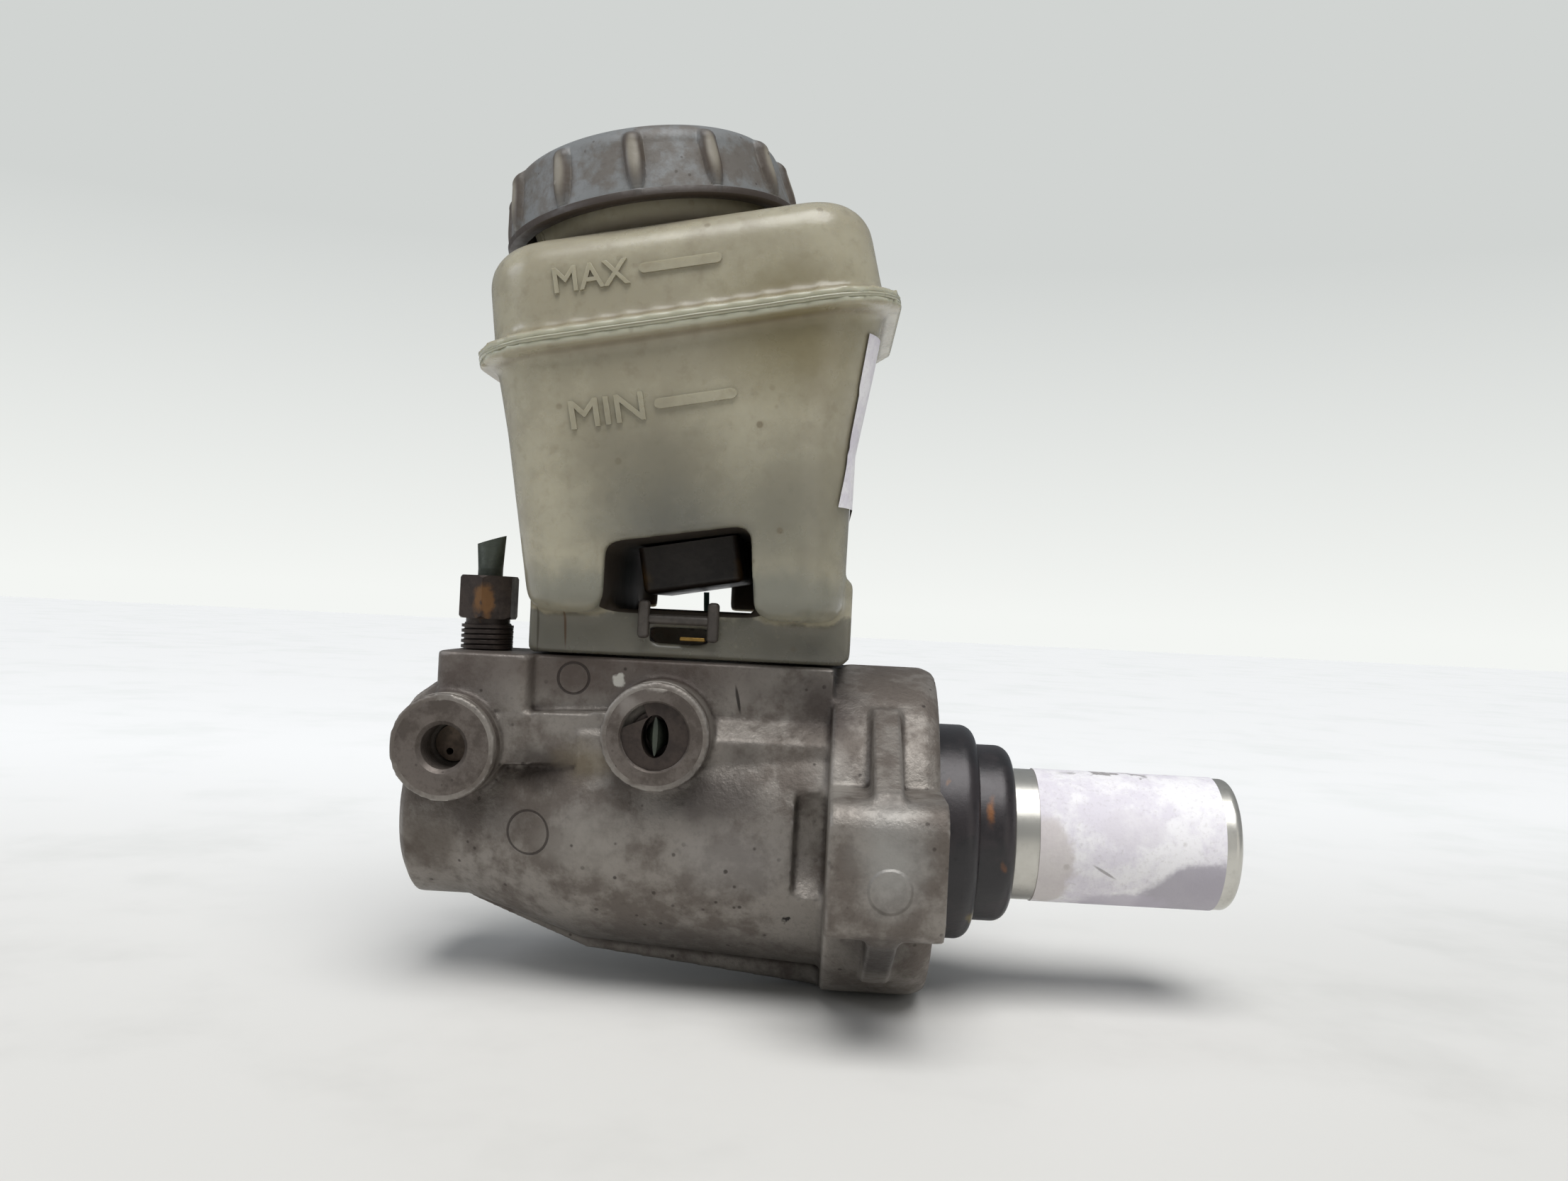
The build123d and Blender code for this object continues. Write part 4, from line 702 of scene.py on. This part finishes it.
def frame_axis(joint: str) -> Vec3:
    """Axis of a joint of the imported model."""
    return tuple(next(j["axis"] for j in frame["joints"] if j["name"] == joint))


def baked(obj: bpy.types.Object, name: str) -> bpy.types.Mesh:
    """Mesh of an object with its modifiers applied; the object is removed."""
    bpy.context.view_layer.update()
    depsgraph = bpy.context.evaluated_depsgraph_get()
    mesh = bpy.data.meshes.new_from_object(obj.evaluated_get(depsgraph))
    mesh.name = name
    bpy.data.objects.remove(obj)
    return mesh


def skin(node: str, name: str, voxel_mm: float, rounds: int, keep: float = 1.0) -> bpy.types.Mesh:
    """Soft-edged copy of a CAD node, as casting and moulding leave it.

    Args:
        node: the CAD node.
        name: the new mesh's name.
        voxel_mm: grid of the remesh.
        rounds: smoothing passes.
        keep: share of the triangles that is kept.
    Returns:
        The mesh.
    """
    copy = cad_copy(node)
    weld = copy.modifiers.new("weld", "WELD")
    weld.merge_threshold = 1e-6
    remesh = copy.modifiers.new("remesh", "REMESH")
    remesh.mode = "VOXEL"
    remesh.voxel_size = voxel_mm * MM
    smooth = copy.modifiers.new("smooth", "SMOOTH")
    smooth.factor = 0.5
    smooth.iterations = rounds
    if keep < 1.0:
        thin = copy.modifiers.new("thin", "DECIMATE")
        thin.ratio = keep
    return baked(copy, name)


def relief(
    name: str, source: bpy.types.Curve, u: float, w: float, size: tuple[float, float], node: str
) -> bpy.types.Mesh:
    """Raised shape laid on the near side of a reservoir shell.

    Args:
        name: the mesh's name.
        source: a text or filled curve, drawn in its own XY plane.
        u: left end along the reservoir, in mm.
        w: lower edge above the weld line, in mm.
        size: width and height on the shell, in mm.
        node: the CAD node it lies on.
    Returns:
        The mesh, proud of the shell.
    """
    holder = bpy.data.objects.new(f"{name}_source", source)
    bpy.context.scene.collection.objects.link(holder)
    mesh = baked(holder, name)
    points = np.array([v.co for v in mesh.vertices], float)
    low, high = points.min(0), points.max(0)
    points[:, :2] = (points[:, :2] - low[:2]) / (high[:2] - low[:2]) * np.array(size)
    depth = (points[:, 2] - low[2]) / max(high[2] - low[2], 1e-9)
    tree = cad_tree(node)
    for vertex, (a, b, _), d in zip(mesh.vertices, points, depth):
        x, _, z = TILT.point(u + a, 0, w + b)
        hit = tree.ray_cast(Vector((x * MM, -RAY_FROM, z * MM)), Vector((0, 1, 0)))[0]
        vertex.co = (x * MM, hit.y + (RELIEF_SUNK - RELIEF_DEPTH * d) * MM, z * MM)
    return mesh


def text_curve(body: str) -> bpy.types.Curve:
    """Plain letters with thickness."""
    text = bpy.data.curves.new(f"text_{body.lower()}", "FONT")
    text.body = body
    text.size = 10
    text.extrude = 1.0
    text.bevel_depth = 0.12
    text.bevel_resolution = 2
    text.resolution_u = 6
    return text


def bar_curve(name: str, length: float, width: float) -> bpy.types.Curve:
    """Bar with rounded ends and thickness."""
    curve = bpy.data.curves.new(name, "CURVE")
    curve.dimensions = "2D"
    curve.fill_mode = "BOTH"
    curve.extrude = 1.0
    bends, sides, outline = 8, 12, []
    for centre, start, way in ((length - width / 2, -90, -1), (width / 2, 90, 1)):
        for step in range(bends + 1):
            a = math.radians(start + 180 / bends * step)
            outline.append((centre + width / 2 * math.cos(a), width / 2 * math.sin(a)))
        for step in range(1, sides):
            outline.append((centre + way * (length - width) * step / sides, -way * width / 2))
    spline = curve.splines.new("POLY")
    spline.points.add(len(outline) - 1)
    for point, (x, y) in zip(spline.points, outline):
        point.co = (x, y, 0, 1)
    spline.use_cyclic_u = True
    return curve


# ------------------------------------------------------------------ sub-assemblies
@dataclass(frozen=True)
class Casting:
    """Cast body with soft edges, and the crisp faces that were machined on it."""

    voxel_mm: float = 0.6
    keep: float = 0.42                       # share of the skin's triangles
    boss_radius: float = 9.75
    thread_radius: float = 4.06
    thread_rise: float = 0.14
    thread_depth: float = 7.6
    front_boss: Vec3 = (-89.7, -27.0, 14.4)
    rear_boss: Vec3 = (-51.0, -29.6, 18.5)
    sink: tuple[float, float] = (6.1, 2.4)   # radius and depth of the rear hole's wider mouth

    def boss_face(self, kit: Kit, name: str, centre: Vec3, mouth: Sequence[tuple[float, float]]) -> None:
        """Turned face of a pipe boss, from its hole out to its chamfered rim."""
        r = self.boss_radius
        profile = [
            *mouth, (r - 1.4, 0.06), (r - 1.15, 0.02), (r - 0.25, -0.95), (r + 0.04, -1.35),
            (r + 0.02, -3.5),
        ]
        mesh = turned(name, profile, centre, (0, -1, 0), (1, 0, 0), 128)
        kit.place(name, mesh, TURNED, Body.HOUSING, "cast_aluminium", 30)

    def build(self, kit: Kit) -> None:
        """Makes the casting's pieces."""
        mesh = skin("cylinder_body", "casting_skin", self.voxel_mm, 3, self.keep)
        body = kit.place("casting_skin", mesh, CAST, Body.HOUSING, "cast_aluminium", 60)
        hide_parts("cylinder_body")
        t = self.thread_radius
        thread = [(t + self.thread_rise * (i % 2), 0.5 * i - self.thread_depth) for i in range(14)]
        mouth = [*thread, (t, -0.85), (4.8, 0.0), (5.0, 0.06)]
        self.boss_face(kit, "front_boss_face", self.front_boss, mouth)
        radius, depth = self.sink
        rear = [
            (t + 0.1, -depth - 0.8), (radius - 0.3, -depth), (radius, -depth + 0.2),
            (radius, -0.3), (radius + 0.3, 0.06),
        ]
        self.boss_face(kit, "rear_boss_face", self.rear_boss, rear)


@dataclass(frozen=True)
class Reservoir:
    """Two moulded shells, their weld and the raised level marks."""

    voxel_mm: float = 0.9
    half_length: float = 39.3
    half_width: float = 34.0
    corner: float = 14.0
    flash_wave: tuple[float, float] = (0.08, 0.05)     # outward and upward
    label_bottom: tuple[float, float] = (-20.8, 61.0)  # X and Z of the left edge's lower end
    label_top: tuple[float, float] = (-16.8, 92.5)     # and of its upper end
    label_centre_x: float = -50.0
    label_end_deg: float = 25.0
    label_lift: float = 0.5

    def weld_line(self, kit: Kit) -> None:
        """Thin flash in the groove between the two flanges."""
        count = 720
        centre = np.array([self.outline(i / count) for i in range(count)])
        along = np.roll(centre, -1, 0) - np.roll(centre, 1, 0)
        normal = np.stack([along[:, 1], -along[:, 0]], 1)
        normal /= np.linalg.norm(normal, axis=1)[:, None]
        rng = np.random.default_rng(7)
        turn = np.linspace(0, 2 * np.pi, count, endpoint=False)
        wave = np.zeros(count)
        for cycles in (5, 11, 17, 29, 47, 83):
            wave += np.sin(turn * cycles + rng.uniform(0, 6.3)) / math.sqrt(cycles)
        section = (
            (-1.0, -0.4), (-0.25, -0.36), (-0.06, -0.12), (-0.06, 0.12), (-0.25, 0.36), (-1.0, 0.4),
        )
        points = np.zeros((count, len(section), 3))
        out_wave, up_wave = self.flash_wave
        for i in range(count):
            for j, (out, up) in enumerate(section):
                u, y = centre[i] + normal[i] * (out + out_wave * max(wave[i], 0.0))
                points[i, j] = TILT.point(u, y, up + up_wave * wave[(i * 3) % count])
        mesh = grid_mesh("weld_flash", points * MM, True, False)
        kit.place("weld_flash", mesh, TANK, Body.HOUSING, "reservoir_plastic", 60)

    def outline(self, share: float) -> tuple[float, float]:
        """Point of the flange's rounded-rectangle edge, share of the way round it."""
        a, b, r = self.half_length - self.corner, self.half_width - self.corner, self.corner
        sides = (2 * b, math.pi * r / 2, 2 * a, math.pi * r / 2) * 2
        run = share * sum(sides)
        corners = ((a, b, 0), (-a, b, 90), (-a, -b, 180), (a, -b, 270))
        starts = ((a + r, -b, 0, 1), (a, b + r, -1, 0), (-a - r, b, 0, -1), (-a, -b - r, 1, 0))
        for side in range(4):
            straight, bend = sides[2 * side], sides[2 * side + 1]
            x, y, dx, dy = starts[side]
            if run <= straight:
                return x + dx * run, y + dy * run
            run -= straight
            if run <= bend:
                cx, cy, start = corners[side]
                angle = math.radians(start) + run / r
                return cx + r * math.cos(angle), cy + r * math.sin(angle)
            run -= bend
        return starts[0][0], starts[0][1]

    def sheet(self) -> bpy.types.Mesh:
        """Paper label laid round the right end of the lower shell, from a leaning left edge."""
        tree = cad_tree("reservoir_lower")
        low, high, columns, rows = self.label_bottom, self.label_top, 40, 24
        points = np.zeros((rows, columns, 3))
        for i in range(rows):
            share = i / (rows - 1)
            z = low[1] + (high[1] - low[1]) * share
            left = low[0] + (high[0] - low[0]) * share
            centre = Vector((self.label_centre_x, 0, z)) * MM

            def hit(degrees: float) -> tuple[Vector, Vector]:
                """Point and normal where a level ray meets the shell."""
                out = Vector((math.cos(math.radians(degrees)), math.sin(math.radians(degrees)), 0))
                return tree.ray_cast(centre + out * RAY_FROM, -out)[:2]

            start = next(d for d in np.arange(-85, 0, 0.5) if hit(d)[0].x > left * MM)
            for j, degrees in enumerate(np.linspace(start, self.label_end_deg, columns)):
                place, normal = hit(degrees)
                points[i, j] = place + normal * self.label_lift * MM
        return grid_mesh("label_sheet", points, False, False)

    def build(self, kit: Kit) -> None:
        """Makes the shells, flash, label and level marks."""
        for node in ("reservoir_lower", "reservoir_upper"):
            name = f"{node}_skin"
            mesh = skin(node, name, self.voxel_mm, 3)
            shell = kit.place(name, mesh, TANK, Body.HOUSING, "reservoir_plastic", 60)
            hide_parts(node)
        self.weld_line(kit)
        label = kit.place("label_sheet", self.sheet(), PAPER, Body.HOUSING, "label_paper", 60)
        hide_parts("reservoir_label")
        marks = (
            ("mark_max", text_curve("MAX"), -22.0, 8.0, (13.6, 4.6), "reservoir_upper"),
            ("line_max", bar_curve("line_max", 14, 1.8), -6.6, 9.4, (14.8, 1.8), "reservoir_upper"),
            ("mark_min", text_curve("MIN"), -22.4, -16.2, (13.4, 5.0), "reservoir_lower"),
            ("line_min", bar_curve("line_min", 14, 1.8), -7.2, -14.7, (14.8, 1.8), "reservoir_lower"),
        )
        for name, curve, u, w, size, node in marks:
            mesh = relief(name, curve, u, w, size, node)
            kit.place(name, mesh, TANK, Body.HOUSING, "reservoir_plastic", 35)


@dataclass(frozen=True)
class ScrewCap:
    """Ribbed filler cap on the neck's leaning axis."""

    rim_w: float = 23.5
    top_w: float = 38.4
    rim_r: float = 29.0
    top_r: float = 26.7
    wall_r: float = 28.3
    wall_w: float = 25.6
    corner: float = 4.4
    dish: float = 0.25
    rib_width: float = 3.3
    rib_proud: float = 1.5
    rib_foot: tuple[float, float] = (1.6, 5.5)   # start above the rim, and length, of the lower taper
    rib_head: tuple[float, float] = (13.2, 2.4)  # end above the rim, and length, of the upper one

    def bulge(self, angle: np.ndarray, height: np.ndarray, radius: np.ndarray) -> np.ndarray:
        """Ribs: rounded bars, blunt at the lid's edge and tapering out above the rim lip."""
        pitch = 2 * np.pi / CAP_RIBS
        start = math.radians(CAP_PHASE_DEG - 90)
        away = np.abs((angle - start + pitch / 2) % pitch - pitch / 2) * radius
        rise = height - self.rim_w
        foot = np.clip((rise - self.rib_foot[0]) / self.rib_foot[1], 0, 1)
        head = np.clip((self.rib_head[0] - rise) / self.rib_head[1], 0, 1)
        ends = np.sqrt(1 - (1 - foot) ** 2) * np.sqrt(1 - (1 - head) ** 2)
        half = self.rib_width / 2 * (0.35 + 0.75 * ends)
        body = np.sqrt(np.clip(1 - (away / half) ** 2, 0, 1))
        outside = radius > self.top_r - 4.0
        return self.rib_proud * body * ends * outside

    def build(self, kit: Kit) -> None:
        """Makes the cap."""
        foot_r, foot_w, corner = self.wall_r, self.wall_w, self.corner
        bend_w, rows = self.top_w - corner, 30
        wall = [
            (foot_r + (self.top_r - foot_r) * s / rows, foot_w + (bend_w - foot_w) * s / rows)
            for s in range(rows + 1)
        ]
        bend = np.radians(np.arange(6, 91, 6))
        edge = [(self.top_r - corner + corner * math.cos(a), bend_w + corner * math.sin(a)) for a in bend]
        lid = [(r, self.top_w - self.dish * (1 - r / 22)) for r in (19, 14, 8, 3, 0.0)]
        low = self.rim_w
        inside = [
            (0.0, 36.2), (12, 36.2), (24.0, 36.2), (24.5, 35.9), (25.2, 30), (26.1, low + 0.2), (26.3, low),
        ]
        rim = [
            (self.rim_r - 0.3, low), (self.rim_r, low + 0.25), (self.rim_r, low + 1.4),
            (self.rim_r - 0.25, low + 1.65), (self.rim_r - 0.65, low + 1.8),
        ]
        profile = [*inside, *rim, *wall, *edge, *lid]
        along = Vector(frame_axis("cap_turn")).normalized()
        across = tuple(Vector((0, 1, 0)).cross(along))
        origin = TILT.point(NECK_U, 0, 0)
        mesh = turned("cap_shell", profile, origin, tuple(along), across, 720, self.bulge)
        cap = kit.place("cap_shell", mesh, CAP, Body.CAP, "cap_plastic", 50)
        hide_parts("filler_cap")


@dataclass(frozen=True)
class NutThread:
    """Open turns of the top nut's thread, fading out under its hexagon."""

    foot: Vec3 = (-87.3, -8.3, 31.6)
    pitch: float = 1.0
    length: float = 5.15
    root_r: float = 4.35
    rise: float = 0.6
    fade: float = 0.7

    def build(self, kit: Kit) -> None:
        """Makes the thread."""
        height = np.linspace(0.0, self.length, 90)
        angle = np.linspace(0, 2 * np.pi, 96, endpoint=False)
        a, h = np.meshgrid(angle, height)
        saw = np.abs(((h / self.pitch - a / (2 * np.pi)) % 1.0) * 2 - 1)
        crest = np.clip(saw * 1.25 - 0.1, 0, 1)
        r = self.root_r + self.rise * crest * np.clip((self.length - h) / self.fade, 0, 1)
        x, y, z = self.foot
        points = np.stack([x + r * np.cos(a), y + r * np.sin(a), z + h], -1)
        mesh = grid_mesh("top_nut_thread", points * MM, False, True)
        kit.place("top_nut_thread", mesh, NUT, Body.HOUSING, "nut_steel", 40)


@dataclass(frozen=True)
class Latch:
    """Level switch's latch: two hanging bars and a cross bar, with a metal tab in the slot behind."""

    bars: tuple[tuple[Vec3, Vec3], ...] = (
        ((-56.4, -20.4, 35.6), (-54.3, -17.9, 42.7)),
        ((-43.5, -20.4, 35.3), (-41.4, -17.9, 42.7)),
        ((-55.4, -19.9, 38.3), (-42.4, -17.9, 40.1)),
    )
    tab: tuple[Vec3, Vec3] = ((-48.6, -18.6, 35.4), (-43.9, -17.6, 36.1))
    rounding: float = 0.75

    def rounded(self, name: str, boxes: Sequence[tuple[Vec3, Vec3]], width: float) -> bpy.types.Mesh:
        """One mesh of boxes with rounded edges."""
        points, faces = [], []
        for low, high in boxes:
            start = len(points)
            spans = [(a * MM, b * MM) for a, b in zip(low, high)]
            points += [(x, y, z) for x in spans[0] for y in spans[1] for z in spans[2]]
            sides = ((0, 1, 3, 2), (4, 6, 7, 5), (0, 4, 5, 1), (2, 3, 7, 6), (0, 2, 6, 4), (1, 5, 7, 3))
            faces += [tuple(start + i for i in side) for side in sides]
        mesh = bpy.data.meshes.new(name)
        mesh.from_pydata(points, [], faces)
        holder = bpy.data.objects.new(f"{name}_source", mesh)
        bpy.context.scene.collection.objects.link(holder)
        bevel = holder.modifiers.new("bevel", "BEVEL")
        bevel.width, bevel.segments = width * MM, 4
        return baked(holder, name)

    def build(self, kit: Kit) -> None:
        """Makes the latch and the tab."""
        mesh = self.rounded("latch_bars", self.bars, self.rounding)
        bars = kit.place("latch_bars", mesh, LATCH, Body.HOUSING, "switch_plastic", 45)
        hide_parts("switch_latch")
        tab = self.rounded("contact_tab", (self.tab,), 0.2)
        kit.place("contact_tab", tab, GOLD, Body.HOUSING, "switch_plastic", 45)


def rolled(a: Vector, b: Vector, angle: float) -> tuple[Vector, Vector]:
    """Two square directions turned in their plane, a towards b."""
    return a * math.cos(angle) + b * math.sin(angle), b * math.cos(angle) - a * math.sin(angle)


@dataclass(frozen=True)
class CameraSetup:
    """The camera, in mm and degrees."""

    position: Vec3 = (-21.65, -254.61, 42.98)
    yaw: float = -1.94455
    pitch: float = 0.64178
    roll: float = 2.7284
    lens: float = 29.28
    sensor: float = 36.0

    def build(self) -> None:
        """Makes the camera the scene's own."""
        yaw, pitch, roll = (math.radians(a) for a in (self.yaw, self.pitch, self.roll))
        ahead = Vector((math.sin(yaw), math.cos(yaw), 0))
        right = Vector((math.cos(yaw), -math.sin(yaw), 0))
        up = Vector((0, 0, 1))
        ahead, up = rolled(ahead, up, pitch)
        right, up = rolled(right, up, roll)
        data = bpy.data.cameras.new("camera")
        data.lens, data.sensor_width = self.lens, self.sensor
        data.clip_start, data.clip_end = 0.01, 20
        camera = bpy.data.objects.new("camera", data)
        turn = Matrix((right, up, -ahead)).transposed().to_4x4()
        camera.matrix_world = Matrix.Translation(Vector(self.position) * MM) @ turn
        bpy.context.scene.collection.objects.link(camera)
        bpy.context.scene.camera = camera


@dataclass(frozen=True)
class Studio:
    """Floor, sky, sun and lamps: each lamp's name, place and size in mm, watts and colour."""

    floor_z: float = -31.8
    sun_from: Vec3 = (0.05, -0.35, 0.93)
    sun_strength: float = 2.7
    sun_degrees: float = 45.0
    lamps: tuple[tuple[str, Vec3, float, float, str], ...] = (
        ("window", (-620, -200, 380), 260, 0.7, "f2f6ff"),
        ("fill", (420, -520, 160), 460, 0.3, "fff8ee"),
    )

    def build(self) -> None:
        """Makes the surroundings."""
        self.floor()
        self.sky()
        sun = bpy.data.lights.new("overhead", "SUN")
        sun.energy, sun.angle = self.sun_strength, math.radians(self.sun_degrees)
        self.aim("overhead", sun, Vector(self.sun_from))
        for name, position, size, watts, hue in self.lamps:
            data = bpy.data.lights.new(name, "AREA")
            data.shape, data.size, data.energy = "DISK", size * MM, watts
            data.color = linear(hue)[:3]
            self.aim(name, data, Vector(position) * MM)

    def aim(self, name: str, data: bpy.types.Light, place: Vector) -> None:
        """Puts a light in its place, facing the object."""
        lamp = bpy.data.objects.new(name, data)
        lamp.location = place
        lamp.rotation_mode = "QUATERNION"
        lamp.rotation_quaternion = (Vector((-0.03, 0, 0.04)) - place).to_track_quat("-Z", "Y")
        bpy.context.scene.collection.objects.link(lamp)

    def floor(self) -> None:
        """Pale table top with faint patches, and painted shade that makes it a little greyer near the
        camera.
        """
        material = bpy.data.materials.new("table_top")
        p = Painter(material)
        patches = p.step(p.noise(70, 5, 0.6), 0.45, 0.7)
        # near colours: painted shade towards the camera
        near = p.mix(patches, "dcdad5", "d2d0cb")
        far = p.mix(patches, "fefefd", "f8f9f7")
        colour = p.mix(p.step(p.axis("Y"), -0.15, 0.35), near, far)
        surface = p.add("ShaderNodeBsdfPrincipled", {"Base Color": colour, "Roughness": 0.55})
        p.add("ShaderNodeOutputMaterial", {"Surface": surface.outputs[0]})
        half = 3.0
        mesh = bpy.data.meshes.new("table_top")
        z = self.floor_z * MM
        corners = [(-half, -half, z), (half, -half, z), (half, half, z), (-half, half, z)]
        mesh.from_pydata(corners, [], [(0, 1, 2, 3)])
        mesh.materials.append(material)
        table = bpy.data.objects.new("table_top", mesh)
        bpy.context.scene.collection.objects.link(table)

    def sky(self) -> None:
        """Pale room: a soft gradient for the camera, a plain grey that lights the object."""
        world = bpy.data.worlds.new("room")
        p = Painter(world)
        way = p.add("ShaderNodeTexCoord").outputs["Generated"]
        up = p.add("ShaderNodeSeparateXYZ", {0: way}).outputs["Z"]
        rise = p.add("ShaderNodeMapRange", {"Value": up, "From Max": 0.26}).outputs[0]
        to_camera = p.add("ShaderNodeLightPath").outputs["Is Camera Ray"]
        seen = p.mix(to_camera, "82868a", p.mix(rise, "f4f6f3", "d1d4d2"))
        sky = p.add("ShaderNodeBackground", {"Color": seen})
        p.add("ShaderNodeOutputWorld", {"Surface": sky.outputs[0]})
        bpy.context.scene.world = world


def finish_nodes(kit: Kit) -> None:
    """Gives every CAD node its material."""
    for name, node in frame["nodes"].items():
        finish = NODE_FINISH[name]
        if not node.data.materials:
            node.data.materials.append(kit.material(finish))
        for slot in node.material_slots:
            slot.material = kit.material(finish)


def main() -> None:
    """Builds the scene."""
    logging.basicConfig(level=logging.INFO)
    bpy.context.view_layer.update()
    bpy.context.scene.view_settings.view_transform = "Standard"
    kit = Kit()
    CameraSetup().build()
    Studio().build()
    finish_nodes(kit)
    for part in (Casting(), Reservoir(), ScrewCap(), Latch(), NutThread()):
        part.build(kit)
        LOG.info("built %s", type(part).__name__)


if __name__ == "__main__":
    main()
